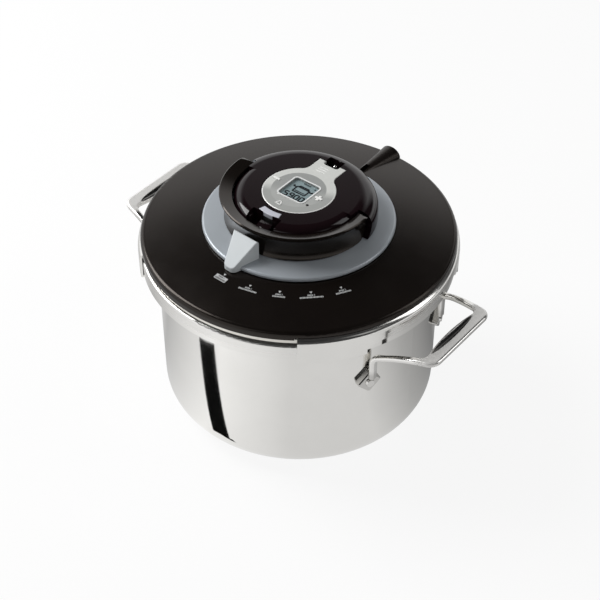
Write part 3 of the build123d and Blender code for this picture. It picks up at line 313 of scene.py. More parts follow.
FULL = (0.0, 1.0)
WEAR_CUT = (0.35, 0.68)
SHADE_CUT = (0.3, 0.7)
LINE_LENGTH_SHARE = 0.004


def group_with(name, inputs, outputs):
    """A shader node group with named sockets: a vector, and numbers with their start values."""
    group = bpy.data.node_groups.new(name, "ShaderNodeTree")
    group.interface.new_socket(name="Vector", in_out="INPUT", socket_type="NodeSocketVector")
    for label, value in inputs:
        socket = group.interface.new_socket(
            name=label, in_out="INPUT", socket_type="NodeSocketFloat"
        )
        socket.default_value = value
    for label in outputs:
        group.interface.new_socket(name=label, in_out="OUTPUT", socket_type="NodeSocketFloat")
    start = group.nodes.new("NodeGroupInput")
    end = group.nodes.new("NodeGroupOutput")
    return group, start.outputs, end.inputs


def make_handled_wear():
    """Faint wiping marks and finger smears: a slow mask, and a roughness that follows it."""
    group, given, made = group_with(
        "handled wear", (("Scale", 18.0), ("Smooth", 0.1), ("Dull", 0.2)), ("Mask", "Roughness")
    )
    slow = noise(group, given["Vector"], given["Scale"], detail=4.0, rough=0.6)
    rough = fit(group, slow, WEAR_CUT, given["Smooth"], given["Dull"])
    group.links.new(fit(group, slow, WEAR_CUT, 0.0, 1.0), made["Mask"])
    group.links.new(rough, made["Roughness"])
    return group


def make_turned_lines():
    """Fine lines that run round the pot's axis, as polishing on a lathe leaves."""
    group, given, made = group_with("turned lines", (("Density", 900.0),), ("Height",))
    x, y, z = split(group, given["Vector"])
    turn = calc(group, "ARCTAN2", y, x)
    wound = group.nodes.new("ShaderNodeCombineXYZ")
    group.links.new(distance(group, x, y), wound.inputs["X"])
    group.links.new(calc(group, "MULTIPLY", turn, LINE_LENGTH_SHARE), wound.inputs["Y"])
    group.links.new(z, wound.inputs["Z"])
    lines = noise(group, wound.outputs[0], given["Density"], detail=3.0, rough=0.6)
    group.links.new(lines, made["Height"])
    return group


def make_moulded_grain():
    """The fine even grain of a moulded plastic, with a slow drift of its shade."""
    group, given, made = group_with(
        "moulded grain", (("Grain", 2500.0), ("Drift", 25.0)), ("Height", "Shade")
    )
    fine = noise(group, given["Vector"], given["Grain"], detail=2.0, rough=0.5)
    slow = noise(group, given["Vector"], given["Drift"], detail=3.0, rough=0.5)
    group.links.new(fine, made["Height"])
    group.links.new(fit(group, slow, SHADE_CUT, 0.0, 1.0), made["Shade"])
    return group


HANDLED = make_handled_wear()
TURNED = make_turned_lines()
GRAIN = make_moulded_grain()


# Finishes

BUMP_DISTANCE = 0.2 * MM


class Finish:
    """A material being made: its Principled shader, object coordinates and links."""

    def __init__(self, name):
        self.material = bpy.data.materials.new(name)
        self.material.use_nodes = True
        self.tree = self.material.node_tree
        self.shader = self.tree.nodes["Principled BSDF"]
        self.place = self.tree.nodes.new("ShaderNodeTexCoord").outputs["Object"]

    def constant(self, **values):
        """Write constants on the shader's own sockets."""
        for label, value in values.items():
            self.shader.inputs[label.replace("_", " ")].default_value = value

    def use(self, group, **values):
        """Add a shared effect and return its outputs."""
        node = self.tree.nodes.new("ShaderNodeGroup")
        node.node_tree = group
        self.tree.links.new(self.place, node.inputs["Vector"])
        for label, value in values.items():
            node.inputs[label].default_value = value
        return node.outputs

    def blend(self, mask, first, second):
        """Mix two colours or colour sockets by a mask."""
        node = self.tree.nodes.new("ShaderNodeMix")
        node.data_type = "RGBA"
        self.tree.links.new(mask, node.inputs["Factor"])
        for socket, colour in ((node.inputs[6], first), (node.inputs[7], second)):
            if isinstance(colour, bpy.types.NodeSocket):
                self.tree.links.new(colour, socket)
            else:
                socket.default_value = (*colour, 1)
        return node.outputs[2]

    def feed(self, label, socket):
        """Link a socket to the shader."""
        self.tree.links.new(socket, self.shader.inputs[label])

    def bump(self, height, strength):
        """Add a fine bump."""
        node = self.tree.nodes.new("ShaderNodeBump")
        node.inputs["Strength"].default_value = strength
        node.inputs["Distance"].default_value = BUMP_DISTANCE
        self.tree.links.new(height, node.inputs["Height"])
        self.feed("Normal", node.outputs["Normal"])


STEEL_DRIFT = 30.0
BRIM_SATIN = 0.24
BRIM_FADE = 1.0 * MM


def steel(
    name, bright, dull, smooth, rough, density=900.0, lines=0.05, turned=True, satin_from=None
):
    """Polished or satin metal, duller above a height where one is given."""
    made = Finish(name)
    made.constant(Metallic=1.0)
    wear = made.use(HANDLED, Scale=14.0, Smooth=smooth, Dull=rough)
    made.feed("Base Color", made.blend(wear["Mask"], bright, dull))
    roughness = wear["Roughness"]
    if satin_from is not None:
        height = split(made.tree, made.place)[2]
        span = (satin_from - BRIM_FADE, satin_from + BRIM_FADE)
        satin = fit(made.tree, height, span, 0.0, BRIM_SATIN)
        roughness = calc(made.tree, "ADD", roughness, satin)
    made.feed("Roughness", roughness)
    if turned:
        ground = made.use(TURNED, Density=density)
    else:
        ground = made.use(GRAIN, Grain=density, Drift=STEEL_DRIFT)
    made.bump(ground["Height"], lines)
    return made.material


# Places on the handles, by distance from the pot's middle, with soft limits
BAR_INSIDE = (155 * MM, 160 * MM)
BAR_OUTSIDE = (172.8 * MM, 173.8 * MM)
DISH_X = 163.6 * MM
DISH_HALF_WIDTH = 3.6 * MM
DISH_HALF_LENGTH = 30 * MM
DISH_EDGE = (0.90, 1.08)
LUG_OUTSIDE = (124 * MM, 127 * MM)
LUG_TOP = (115 * MM, 121 * MM)
GRIP_METALLIC = 0.35
GRIP_SATIN = 0.22


def handle_steel():
    """Cast steel handles: bright legs, and a grip bar with a satin flat and a dish in it painted
    dark, partly a dark ground of the dish and partly a painted dark reflection.
    """
    made = Finish("cast handle steel")
    tree = made.tree
    wear = made.use(HANDLED, Scale=20.0, Smooth=0.15, Dull=0.19)
    grain = made.use(GRAIN, Grain=900.0, Drift=STEEL_DRIFT)
    x, y, z = split(tree, made.place)
    out = calc(tree, "ABSOLUTE", x)
    inside = fit(tree, out, BAR_INSIDE, 0.0, 1.0)
    bar = calc(tree, "MULTIPLY", inside, fit(tree, out, BAR_OUTSIDE, 1.0, 0.0))
    wide = calc(tree, "MULTIPLY", calc(tree, "SUBTRACT", out, DISH_X), 1 / DISH_HALF_WIDTH)
    spread = square_sum(tree, wide, calc(tree, "MULTIPLY", y, 1 / DISH_HALF_LENGTH))
    grip = calc(tree, "MULTIPLY", bar, fit(tree, spread, DISH_EDGE, 0.0, 1.0))
    # The dish is painted dark: partly a dark ground of the dish, partly a painted dark reflection.
    painted_dish = calc(tree, "MULTIPLY", bar, fit(tree, spread, DISH_EDGE, 1.0, 0.0))
    near = fit(tree, out, LUG_OUTSIDE, 1.0, 0.0)
    lug = calc(tree, "MULTIPLY", near, fit(tree, z, LUG_TOP, 1.0, 0.0))
    cast = made.blend(wear["Mask"], (0.84, 0.83, 0.81), (0.80, 0.79, 0.77))
    cast = made.blend(lug, cast, (0.60, 0.59, 0.57))
    made.feed("Base Color", made.blend(painted_dish, cast, (0.22, 0.215, 0.21)))
    made.feed("Metallic", fit(tree, grip, FULL, 1.0, GRIP_METALLIC))
    satin = calc(tree, "MULTIPLY", grip, GRIP_SATIN)
    made.feed("Roughness", calc(tree, "ADD", wear["Roughness"], satin))
    made.bump(grain["Height"], strength=0.003)
    return made.material


def moulding(
    name, colour, shade, smooth, rough, grain, depth, metallic=0.0, sheen=(1, 1, 1), gloss=0.5
):
    """Moulded plastic, rubber or print with a fine grain."""
    made = Finish(name)
    made.constant(Metallic=metallic, Specular_Tint=(*sheen, 1), Specular_IOR_Level=gloss)
    texture = made.use(GRAIN, Grain=grain, Drift=22.0)
    wear = made.use(HANDLED, Scale=30.0, Smooth=smooth, Dull=rough)
    made.feed("Base Color", made.blend(texture["Shade"], colour, shade))
    made.feed("Roughness", wear["Roughness"])
    made.bump(texture["Height"], depth)
    return made.material


# The timer's face, its light and shade painted on: a painted highlight on its round edge, painted
# shade in its dish about the window, and the line between its painted bright back and painted dark
# front
FACE_EDGE_HIGHLIGHT = (30.85 * MM, 31.12 * MM)
FACE_TONGUE = (12 * MM, 16 * MM)
FACE_DISH_MIDDLE = (-0.8 * MM, 0.4 * MM)
FACE_DISH = (23.6 * MM, 24.2 * MM)
FACE_PAINTED_BACK_TURN = 204.8
FACE_PAINTED_BACK = (-6 * MM, 4 * MM)


def silver_face():
    """Silver timer face with painted light and shade: a round dish about the window in painted
    shade, on a rim painted bright at the back and dark at the front, with a painted highlight on
    its edge.
    """
    made = Finish("silver face")
    tree = made.tree
    made.constant(Metallic=0.2)
    texture = made.use(GRAIN, Grain=5200.0, Drift=40.0)
    wear = made.use(HANDLED, Scale=40.0, Smooth=0.3, Dull=0.42)
    x, y, _ = split(tree, made.place)
    # Painted light and shade standing in for the face's slopes: the rim is painted bright at the
    # back and dark at the front, and the dish is painted darker at the back.
    painted_back = fit(tree, toward(tree, x, y, FACE_PAINTED_BACK_TURN), FACE_PAINTED_BACK, 0.0, 1.0)
    rim_front_painted_shade = made.blend(texture["Shade"], (0.41, 0.42, 0.405), (0.385, 0.395, 0.38))
    rim_back_painted_light = made.blend(texture["Shade"], (0.72, 0.73, 0.70), (0.68, 0.69, 0.66))
    dish_front_painted_shade = made.blend(texture["Shade"], (0.46, 0.47, 0.455), (0.43, 0.44, 0.425))
    dish_back_painted_shade = made.blend(texture["Shade"], (0.365, 0.375, 0.365), (0.345, 0.355, 0.345))
    # A painted highlight along the face's round edge, stopping short of the tongue.
    edge = fit(tree, distance(tree, x, y), FACE_EDGE_HIGHLIGHT, 0.0, 1.0)
    edge = calc(tree, "MULTIPLY", edge, fit(tree, y, FACE_TONGUE, 1.0, 0.0))
    rim = made.blend(edge, made.blend(painted_back, rim_front_painted_shade, rim_back_painted_light), (0.88, 0.88, 0.86))
    painted_dish = fit(tree, distance(tree, x, y, *FACE_DISH_MIDDLE), FACE_DISH, 1.0, 0.0)
    made.feed("Base Color", made.blend(painted_dish, rim, made.blend(painted_back, dish_front_painted_shade, dish_back_painted_shade)))
    made.feed("Roughness", wear["Roughness"])
    made.bump(texture["Height"], strength=0.06)
    return made.material


CLEAR_IOR = 1.45
LCD_SPAN = (-13.4 * MM, 13.4 * MM)
CLEAR_ALPHA = (0.05, 0.08)


def display_grey():
    """The display's grey-blue glass, a little lighter towards its upper edge."""
    made = Finish("display grey")
    made.constant(IOR=CLEAR_IOR)
    rise = fit(made.tree, split(made.tree, made.place)[1], LCD_SPAN, 0.0, 1.0)
    wear = made.use(HANDLED, Scale=60.0, Smooth=0.25, Dull=0.35)
    made.feed("Base Color", made.blend(rise, (0.27, 0.36, 0.38), (0.31, 0.40, 0.42)))
    made.feed("Roughness", wear["Roughness"])
    return made.material


def clear_window():
    """Clear plastic of the timer's window."""
    made = Finish("clear window")
    made.constant(IOR=CLEAR_IOR)
    wear = made.use(HANDLED, Scale=50.0, Smooth=0.02, Dull=0.06)
    made.feed("Base Color", made.blend(wear["Mask"], (0.10, 0.11, 0.11), (0.08, 0.09, 0.09)))
    made.feed("Roughness", wear["Roughness"])
    made.feed("Alpha", fit(made.tree, wear["Mask"], FULL, *CLEAR_ALPHA))
    return made.material


# A warm tint on the plastics' reflections: a painted warm reflection that stands in for warm
# surroundings.
WARM_SHEEN = (0.92, 0.81, 0.73)
LOW_GLOSS = 0.36

pot_steel = steel(
    "pot steel", (0.86, 0.85, 0.825), (0.825, 0.815, 0.79), smooth=0.045, rough=0.08,
    lines=0.03, satin_from=POT_HEIGHT - BRIM_DEPTH,
)
base_steel = steel(
    "base disc steel", (0.72, 0.71, 0.69), (0.66, 0.65, 0.63), smooth=0.22, rough=0.34
)
jaw_steel = steel(
    "jaw steel", (0.87, 0.86, 0.835), (0.835, 0.825, 0.80), smooth=0.15, rough=0.21,
    density=700.0, lines=0.02,
)
lid_steel = steel(
    "lid steel", (0.78, 0.76, 0.71), (0.74, 0.72, 0.67), smooth=0.30, rough=0.36,
    density=700.0, lines=0.02,
)
cast_steel = handle_steel()
rivet_steel = steel(
    "rivet steel", (0.78, 0.77, 0.75), (0.70, 0.69, 0.67), smooth=0.10, rough=0.22,
    density=800.0, lines=0.04, turned=False,
)
spring_steel = steel(
    "spring steel", (0.60, 0.60, 0.60), (0.50, 0.50, 0.51), smooth=0.2, rough=0.35
)
valve_brass = steel(
    "valve brass", (0.78, 0.58, 0.27), (0.68, 0.49, 0.22), smooth=0.18, rough=0.32,
    density=1200.0,
)
cell_steel = steel(
    "cell steel", (0.70, 0.70, 0.69), (0.62, 0.62, 0.61), smooth=0.2, rough=0.3,
    density=1500.0,
)
cover_black = moulding(
    "cover black", (0.0070, 0.0052, 0.0044), (0.0056, 0.0043, 0.0037), smooth=0.20, rough=0.25,
    grain=1800.0, depth=0.05, sheen=WARM_SHEEN, gloss=LOW_GLOSS,
)
housing_gloss = moulding(
    "housing gloss", (0.0085, 0.0035, 0.0048), (0.0070, 0.0030, 0.0040), smooth=0.07, rough=0.11,
    grain=900.0, depth=0.01, gloss=LOW_GLOSS,
)
bail_gloss = moulding(
    "bail gloss", (0.0085, 0.0066, 0.0054), (0.0070, 0.0055, 0.0046), smooth=0.10, rough=0.15,
    grain=1500.0, depth=0.02, sheen=WARM_SHEEN, gloss=LOW_GLOSS,
)
inner_black = moulding(
    "inner black", (0.012, 0.011, 0.011), (0.009, 0.009, 0.009), smooth=0.35, rough=0.5,
    grain=2200.0, depth=0.08,
)
ring_satin = moulding(
    "selector ring satin", (0.41, 0.445, 0.475), (0.385, 0.415, 0.45), smooth=0.32, rough=0.38,
    grain=4200.0, depth=0.05, metallic=0.25,
)
pointer_pale = moulding(
    "pointer pale", (0.70, 0.735, 0.75), (0.66, 0.70, 0.715), smooth=0.36, rough=0.44,
    grain=3600.0, depth=0.05,
)
button_pale = moulding(
    "button pale", (0.63, 0.63, 0.69), (0.49, 0.50, 0.56), smooth=0.34, rough=0.42,
    grain=3600.0, depth=0.05,
)
key_white = moulding(
    "key white", (0.90, 0.90, 0.88), (0.87, 0.87, 0.85), smooth=0.34, rough=0.42,
    grain=3600.0, depth=0.04,
)
bezel_bright = moulding(
    "bezel bright", (0.88, 0.885, 0.88), (0.85, 0.855, 0.85), smooth=0.22, rough=0.3,
    grain=3600.0, depth=0.03, metallic=0.15,
)
gasket_rubber = moulding(
    "gasket rubber", (0.16, 0.16, 0.165), (0.13, 0.13, 0.135), smooth=0.5, rough=0.62,
    grain=1500.0, depth=0.1,
)
board_green = moulding(
    "board green", (0.02, 0.12, 0.06), (0.015, 0.09, 0.045), smooth=0.35, rough=0.5,
    grain=900.0, depth=0.1,
)
mark_ink = moulding(
    "mark ink", (0.56, 0.57, 0.57), (0.47, 0.48, 0.48), smooth=0.5, rough=0.6,
    grain=3000.0, depth=0.05,
)
mark_gap_ink = moulding(
    "mark gap ink", (0.045, 0.042, 0.040), (0.034, 0.032, 0.031), smooth=0.45, rough=0.55,
    grain=3000.0, depth=0.05,
)
display_ink = moulding(
    "display ink", (0.012, 0.018, 0.022), (0.009, 0.014, 0.018), smooth=0.4, rough=0.5,
    grain=3000.0, depth=0.02, gloss=0.15,
)
face_silver = silver_face()
lcd_grey = display_grey()
window_clear = clear_window()

finishes = {
    "pot_shell": pot_steel,
    "base_disc": base_steel,
    "handle_right": cast_steel,
    "handle_left": cast_steel,
    "handle_rivets": rivet_steel,
    "lid_pan": lid_steel,
    "lid_gasket": gasket_rubber,
    "jaw_right": jaw_steel,
    "jaw_left": jaw_steel,
    "jaw_arm_right": base_steel,
    "jaw_arm_left": base_steel,
    "jaw_rivets_right": rivet_steel,
    "jaw_rivets_left": rivet_steel,
    "jaw_guides": base_steel,
    "lid_cover": cover_black,
    "control_base": inner_black,
    "lid_nut": rivet_steel,
    "housing_screws": rivet_steel,
    "selector_ring": ring_satin,
    "selector_pointer": pointer_pale,
    "bail_handle": bail_gloss,
    "bail_pins": rivet_steel,
    "cam_right": inner_black,
    "cam_left": inner_black,
    "control_housing": housing_gloss,
    "recess_tray": housing_gloss,
    "release_button": button_pale,
    "release_stem": inner_black,
    "release_spring": spring_steel,
    "timer_case": inner_black,
    "timer_face": face_silver,
    "timer_bezel": bezel_bright,
    "timer_lens": window_clear,
    "lcd_panel": lcd_grey,
    "circuit_board": board_green,
    "battery": cell_steel,
    "battery_cover": inner_black,
    "timer_minus_key": key_white,
    "timer_plus_key": key_white,
    "pin_bush": valve_brass,
    "pressure_pin": rivet_steel,
    "valve_body": valve_brass,
    "valve_poppet": rivet_steel,
    "valve_spring": spring_steel,
    "safety_valve_body": valve_brass,
    "safety_valve_poppet": rivet_steel,
    "safety_valve_spring": spring_steel,
    "valve_caps": valve_brass,
}
for node_name, finish in finishes.items():
    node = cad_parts[node_name]
    if not node.material_slots:
        node.data.materials.append(finish)
    for slot in node.material_slots:
        slot.material = finish


def place(piece, finish, body):
    """Give a finished piece its finish and the body that carries it."""
    piece.data.materials.clear()
    piece.data.materials.append(finish)
    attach(piece, body)


# Marks on the cover: a small arrow head, a number, and rows of ticks for each setting.
# Turns are in degrees from the cook's side to the right.

MARK_TURNS = (-1.7, 13.7, 29.1, 44.5, 59.9)
MARK_TICKS = ((9, 10.4), (14, 16.6), (9, 11.0), (17, 19.8), (12, 13.6))
MARK_RADIUS = 95.3 * MM
INK_LIFT = 0.06 * MM
LETTER_LIFT = 2.2 * INK_LIFT
ARROW_RADIUS = 1.5 * MM
ARROW_CLIP = 0.25 * MM
MARK_CLIP_STEPS = 2
ROW_Y = -MARK_RADIUS - 5.5 * MM
ROW_HEIGHT = 1.9 * MM
WORD_TICKS = 4
WORD_WIDTH = 4.6 * MM
WORD_HEIGHT = 1.6 * MM
WORD_X = -1.0 * MM
WORD_RISE = 2.3 * MM
NUMBER_SIZE = 2.4 * MM
NUMBER_X = 2.4 * MM
TICK_FILL = 0.62
TICK_CLIP = 0.12
TICK_HEIGHTS = (1.0, 0.82, 1.0, 0.9, 0.74)

# The first mark is a pale label with its letters in a darker ink
LABEL_Y = ROW_Y + 0.6 * MM
LABEL_MARGIN = 1.6 * MM
LABEL_LENGTH = 5.2 * MM
LABEL_CLIP = 0.4 * MM
LABEL_BORDER = 0.5 * MM
LABEL_SHIFT = 1.15 * MM
LABEL_ROW_HEIGHT = 1.6 * MM
LABEL_WORD_HEIGHT = 1.5 * MM
LABEL_NUMBER_SIZE = 2.2 * MM

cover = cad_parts["lid_cover"]


def tick_row(name, ticks, width, height, x, y):
    """A row of small upright ticks with uneven heights, as fine print looks from a distance."""
    step = width / ticks
    first = plate(name, TICK_FILL * step, height, x - width / 2 + step / 2, y, Z_COVER_CLEAR)
    clip_corners(first, TICK_CLIP * step)
    row = [first]
    for number in range(1, ticks):
        share = TICK_HEIGHTS[number % len(TICK_HEIGHTS)]
        row.append(
            twin(
                first,
                f"{name}_{number}",
                x=number * step,
                y=y * (1 - share),
                spread=(1, share, 1),
            )
        )
    return merge(name, row)


def label_plate(width):
    """The first mark's label, with a border."""
    label = plate("mark_1_label", width + LABEL_MARGIN, LABEL_LENGTH, 0, LABEL_Y, Z_COVER_CLEAR)
    clip_corners(label, LABEL_CLIP, MARK_CLIP_STEPS)
    border(label, LABEL_BORDER)
    drop_selection()
    return label


def label_letters(ticks, width):
    """The first mark's rows and number."""
    low, high = LABEL_Y - LABEL_SHIFT, LABEL_Y + LABEL_SHIFT
    rows = [
        tick_row("mark_1_words", ticks, width, LABEL_ROW_HEIGHT, 0, low),
        tick_row("mark_1_word", WORD_TICKS, WORD_WIDTH, LABEL_WORD_HEIGHT, WORD_X, high),
        numeral("mark_1_number", "1", LABEL_NUMBER_SIZE, NUMBER_X, high, Z_COVER_CLEAR),
    ]
    return merge("mark_1_gaps", rows)


def print_on_cover(flat, name, turn, lift, finish):
    """Turn a flat print to its setting and lay it on the cover."""
    mark = twin(flat, name, turn=math.radians(turn))
    discard(flat)
    lay_on(mark, cover, lift)
    place(mark, finish, "lid")


head = disc("arrow_head", 3, ARROW_RADIUS, 0, -MARK_RADIUS, Z_COVER_CLEAR, math.pi)
clip_corners(head, ARROW_CLIP, MARK_CLIP_STEPS)
for number, (turn, (ticks, width)) in enumerate(zip(MARK_TURNS, MARK_TICKS), 1):
    mark = f"mark_{number}"
    width *= MM
    parts = [twin(head, f"{mark}_head")]
    if number == 1:
        parts.append(label_plate(width))
        letters = label_letters(ticks, width)
        print_on_cover(
            letters, "mark_1_letters", turn, LETTER_LIFT, mark_gap_ink
        )
    else:
        high = ROW_Y + WORD_RISE
        parts += [
            tick_row(f"{mark}_ticks", ticks, width, ROW_HEIGHT, 0, ROW_Y),
            tick_row(f"{mark}_word", WORD_TICKS, WORD_WIDTH, WORD_HEIGHT, WORD_X, high),
            numeral(f"{mark}_number", str(number), NUMBER_SIZE, NUMBER_X, high, Z_COVER_CLEAR),
        ]
    flat = merge(f"{mark}_flat", parts)
    print_on_cover(flat, f"cover_{mark}", turn, INK_LIFT, mark_ink)
discard(head)


# Display: four seven-part digits, a pot sign, a row of dashes and a dot under the window.
# Sizes and places of its signs are in millimetres.

SEGMENTS = {
    "top": (0, 1, 0), "middle": (0, 0, 0), "bottom": (0, -1, 0),
    "left_high": (-1, 0.5, 90), "right_high": (1, 0.5, 90),
    "left_low": (-1, -0.5, 90), "right_low": (1, -0.5, 90),
}
LIT = {
    5: ("top", "left_high", "middle", "right_low", "bottom"),
    9: ("top", "left_high", "right_high", "middle", "right_low", "bottom"),
    0: ("top", "left_high", "right_high", "left_low", "right_low", "bottom"),
}
SIGN_X = -1.0
SIGN_Y = 1.3
INK_HEIGHT = 0.08 * MM
STROKE_CLIP = 0.15 * MM

DIGITS = ((5, -7.0), (9, -1.6), (0, 3.8), (0, 9.2))
DIGIT_Y = -8.7
DIGIT_HALF_WIDTH = 1.7
DIGIT_HALF_HEIGHT = 2.85
DIGIT_BAR_LENGTH = 3.3 * MM
DIGIT_BAR_WIDTH = 1.5 * MM
DIGIT_BAR_CLIP = 0.45 * MM

# Each stroke: width, length, x and y
POT_SIGN = {
    "left_wall": (1.6, 7.4, -5.1, 0.8),
    "right_wall": (1.6, 7.4, 7.9, 0.8),
    "floor": (13.6, 1.6, 1.4, -2.9),
    "water": (10.3, 1.0, 1.4, -1.0),
    "brim": (13.6, 1.6, 1.4, 4.5),
    "lid": (9.6, 1.6, 1.4, 6.2),
    "left_lid_end": (1.6, 1.8, -3.4, 5.4),
    "right_lid_end": (1.6, 1.8, 6.2, 5.4),
    "left_handle": (2.9, 1.6, -6.9, 3.4),
    "right_handle": (2.9, 1.6, 9.7, 3.4),
    "left_grip": (1.6, 1.8, -8.2, 4.1),
    "right_grip": (1.6, 1.8, 11.0, 4.1),
}
DASHES = 6
DASH_SIZE = (0.8, 1.7)
DASH_X = -2.2
DASH_STEP = 1.25
DASH_Y = 10.6
DOT_X = 10.3
DOT_Y = 9.3
DOT_RADIUS = 0.8 * MM
DOT_SIDES = 20


def ink_bar(name, width, length, x, y):
    """One straight stroke of a display sign."""
    stroke = plate(
        name, width * MM, length * MM, (x + SIGN_X) * MM, (y + SIGN_Y) * MM, Z_INK
    )
    clip_corners(stroke, STROKE_CLIP)
    raise_up(stroke, INK_HEIGHT)
    return stroke


bar_start = plate("digit_bar", DIGIT_BAR_LENGTH, DIGIT_BAR_WIDTH, 0, 0, Z_INK)
clip_corners(bar_start, DIGIT_BAR_CLIP)
raise_up(bar_start, INK_HEIGHT)
for number, (value, x) in enumerate(DIGITS, 1):
    lit = []
    for segment in LIT[value]:
        across, up, turn = SEGMENTS[segment]
        lit.append(
            twin(
                bar_start,
                f"digit_{number}_{segment}",
                x=(x + SIGN_X + across * DIGIT_HALF_WIDTH) * MM,
                y=(DIGIT_Y + SIGN_Y + up * DIGIT_HALF_HEIGHT) * MM,
                turn=math.radians(turn),
            )
        )
    place(merge(f"display_digit_{number}", lit), display_ink, "timer")
discard(bar_start)

strokes = [ink_bar(f"sign_{stroke}", *sizes) for stroke, sizes in POT_SIGN.items()]
place(merge("display_pot_sign", strokes), display_ink, "timer")
dashes = [ink_bar(f"dash_{n}", *DASH_SIZE, DASH_X + DASH_STEP * n, DASH_Y) for n in range(DASHES)]
place(merge("display_status_dashes", dashes), display_ink, "timer")
dot_x, dot_y = (SIGN_X + DOT_X) * MM, (SIGN_Y + DOT_Y) * MM
status_dot = disc("display_status_dot", DOT_SIDES, DOT_RADIUS, dot_x, dot_y, Z_INK)
raise_up(status_dot, INK_HEIGHT)
place(status_dot, display_ink, "timer")


# Raised signs on the timer's face: a triangle, three waves on the tongue and a small lamp

TRIANGLE_RADIUS = 4.3 * MM
TRIANGLE_X = -2.5 * MM
TRIANGLE_Y = -24.0 * MM
TRIANGLE_CLIP = 0.5 * MM
TRIANGLE_CLIP_STEPS = 3
TRIANGLE_LINE = 0.9 * MM
TRIANGLE_HEIGHT = 0.3 * MM
WAVE_LENGTH = 9.0 * MM
WAVE_LINE = 0.8 * MM
WAVE_X = -2.0 * MM
WAVE_CUTS = 17
WAVE_SWAY = 0.2 * MM
WAVE_HEIGHT = 0.25 * MM
WAVE_PLACES = (32.0 * MM, 35.0 * MM, 38.0 * MM)
LAMP_RADIUS = 1.25 * MM
LAMP_SIDES = 28
LAMP_X = 18.4 * MM
LAMP_Y = -12.0 * MM
LAMP_HEIGHT = 0.25 * MM
LAMP_RIM = 0.35 * MM
LAMP_DEPTH = 0.15 * MM


def face_triangle():
    """Raised triangle outline by the window's front edge."""
    sign = disc("face_triangle", 3, TRIANGLE_RADIUS, TRIANGLE_X, TRIANGLE_Y, Z_FACE)
    clip_corners(sign, TRIANGLE_CLIP, TRIANGLE_CLIP_STEPS)
    border(sign, TRIANGLE_LINE)
    bpy.ops.mesh.delete(type="FACE")
    raise_up(sign, TRIANGLE_HEIGHT)
    return sign


def steam_wave():
    """One raised rib across the tongue, a little wavy."""
    wave = plate("wave_start", WAVE_LENGTH, WAVE_LINE, WAVE_X, 0, Z_FACE)
    edit_edges(wave, lambda middle, run: abs(run.x) > abs(run.y))
    bpy.ops.mesh.subdivide(number_cuts=WAVE_CUTS)
    drop_selection()
    for vertex in wave.data.vertices:
        share = (vertex.co.x - WAVE_X) / WAVE_LENGTH
        vertex.co.y += WAVE_SWAY * math.sin(share * 2 * math.pi)
    raise_up(wave, WAVE_HEIGHT)
    return wave


def small_lamp():
    """A low round lamp with a raised middle."""
    lamp = disc("face_lamp", LAMP_SIDES, LAMP_RADIUS, LAMP_X, LAMP_Y, Z_FACE)
    edit(lamp, "FACE")
    bpy.ops.mesh.select_all(action="SELECT")
    bpy.ops.mesh.extrude_region_move(TRANSFORM_OT_translate={"value": (0, 0, LAMP_HEIGHT)})
    bpy.ops.mesh.inset(thickness=LAMP_RIM, depth=LAMP_DEPTH)
    face_outwards()
    return lamp


place(face_triangle(), key_white, "timer")
first_wave = steam_wave()
for number, y in enumerate(WAVE_PLACES, 1):
    place(twin(first_wave, f"face_wave_{number}", y=y), key_white, "timer")
discard(first_wave)
place(small_lamp(), inner_black, "timer")


# Finger recess: two guide fins and a ramp under the release button

FIN_SIZE = (1.6 * MM, 9.0 * MM, 8.0 * MM)
FIN_X = 13.9 * MM
FIN_Y = -48.6 * MM
FIN_SLOPE = (0, 3.5 * MM, 0)
FIN_SOFT = 0.4 * MM
RAMP_SIZE = (13.0 * MM, 10.5 * MM, 4.0 * MM)
RAMP_Y = -48.3 * MM
RAMP_SLOPE = (0, 0, -3.0 * MM)
RAMP_SOFT = 0.5 * MM
NEAR_EDGE = 0.5 * MM


def recess_block(name, size, x, y, slope, soft):
    """A block on the recess floor with its upper front edge moved, softened all round."""
    piece = block(name, *size, x, y, Z_RECESS)
    front = y - size[1] / 2 + NEAR_EDGE
    top = Z_RECESS + size[2] - NEAR_EDGE
    edit_edges(piece, lambda middle, run: middle.y < front and middle.z > top)
    bpy.ops.transform.translate(value=slope)
    drop_selection()
    soften(piece, soft)
    place(piece, housing_gloss, "lid")


recess_block("recess_fin_left", FIN_SIZE, -FIN_X, FIN_Y, FIN_SLOPE, FIN_SOFT)
recess_block("recess_fin_right", FIN_SIZE, FIN_X, FIN_Y, FIN_SLOPE, FIN_SOFT)
recess_block("recess_ramp", RAMP_SIZE, 0, RAMP_Y, RAMP_SLOPE, RAMP_SOFT)


# Studio: camera, floor, a shaded card and a dark strip that only reflections see, soft boxes and
# a pale surround. Turns are in degrees from the cook's side to the right.

AIM = Vector((0, 0, 0.0965))
CAMERA_TURN = 38.6
CAMERA_TILT = 41.73
CAMERA_REACH = 1.3026
CAMERA_LENS = 85.62
CAMERA_SENSOR = 36
CAMERA_SHIFT = 1 / 600
CAMERA_FAR = 20
RIGHT_TURN = CAMERA_TURN + 90


def face_to(thing, target):
    """Turn a camera or a lamp to a place."""
    thing.rotation_euler = (target - thing.location).to_track_quat("-Z", "Y").to_euler()


def studio_camera():
    """The camera at the photo's angle."""
    turn, tilt = math.radians(CAMERA_TURN), math.radians(CAMERA_TILT)
    level = math.cos(tilt)
    away = Vector((math.sin(turn) * level, -math.cos(turn) * level, math.sin(tilt)))
    drop_selection()
    bpy.ops.object.camera_add(location=AIM + CAMERA_REACH * away)
    camera = bpy.context.active_object
    face_to(camera, AIM)
    camera.data.sensor_width = CAMERA_SENSOR
    camera.data.lens = CAMERA_LENS
    camera.data.shift_x = CAMERA_SHIFT
    camera.data.clip_end = CAMERA_FAR
    bpy.context.scene.camera = camera


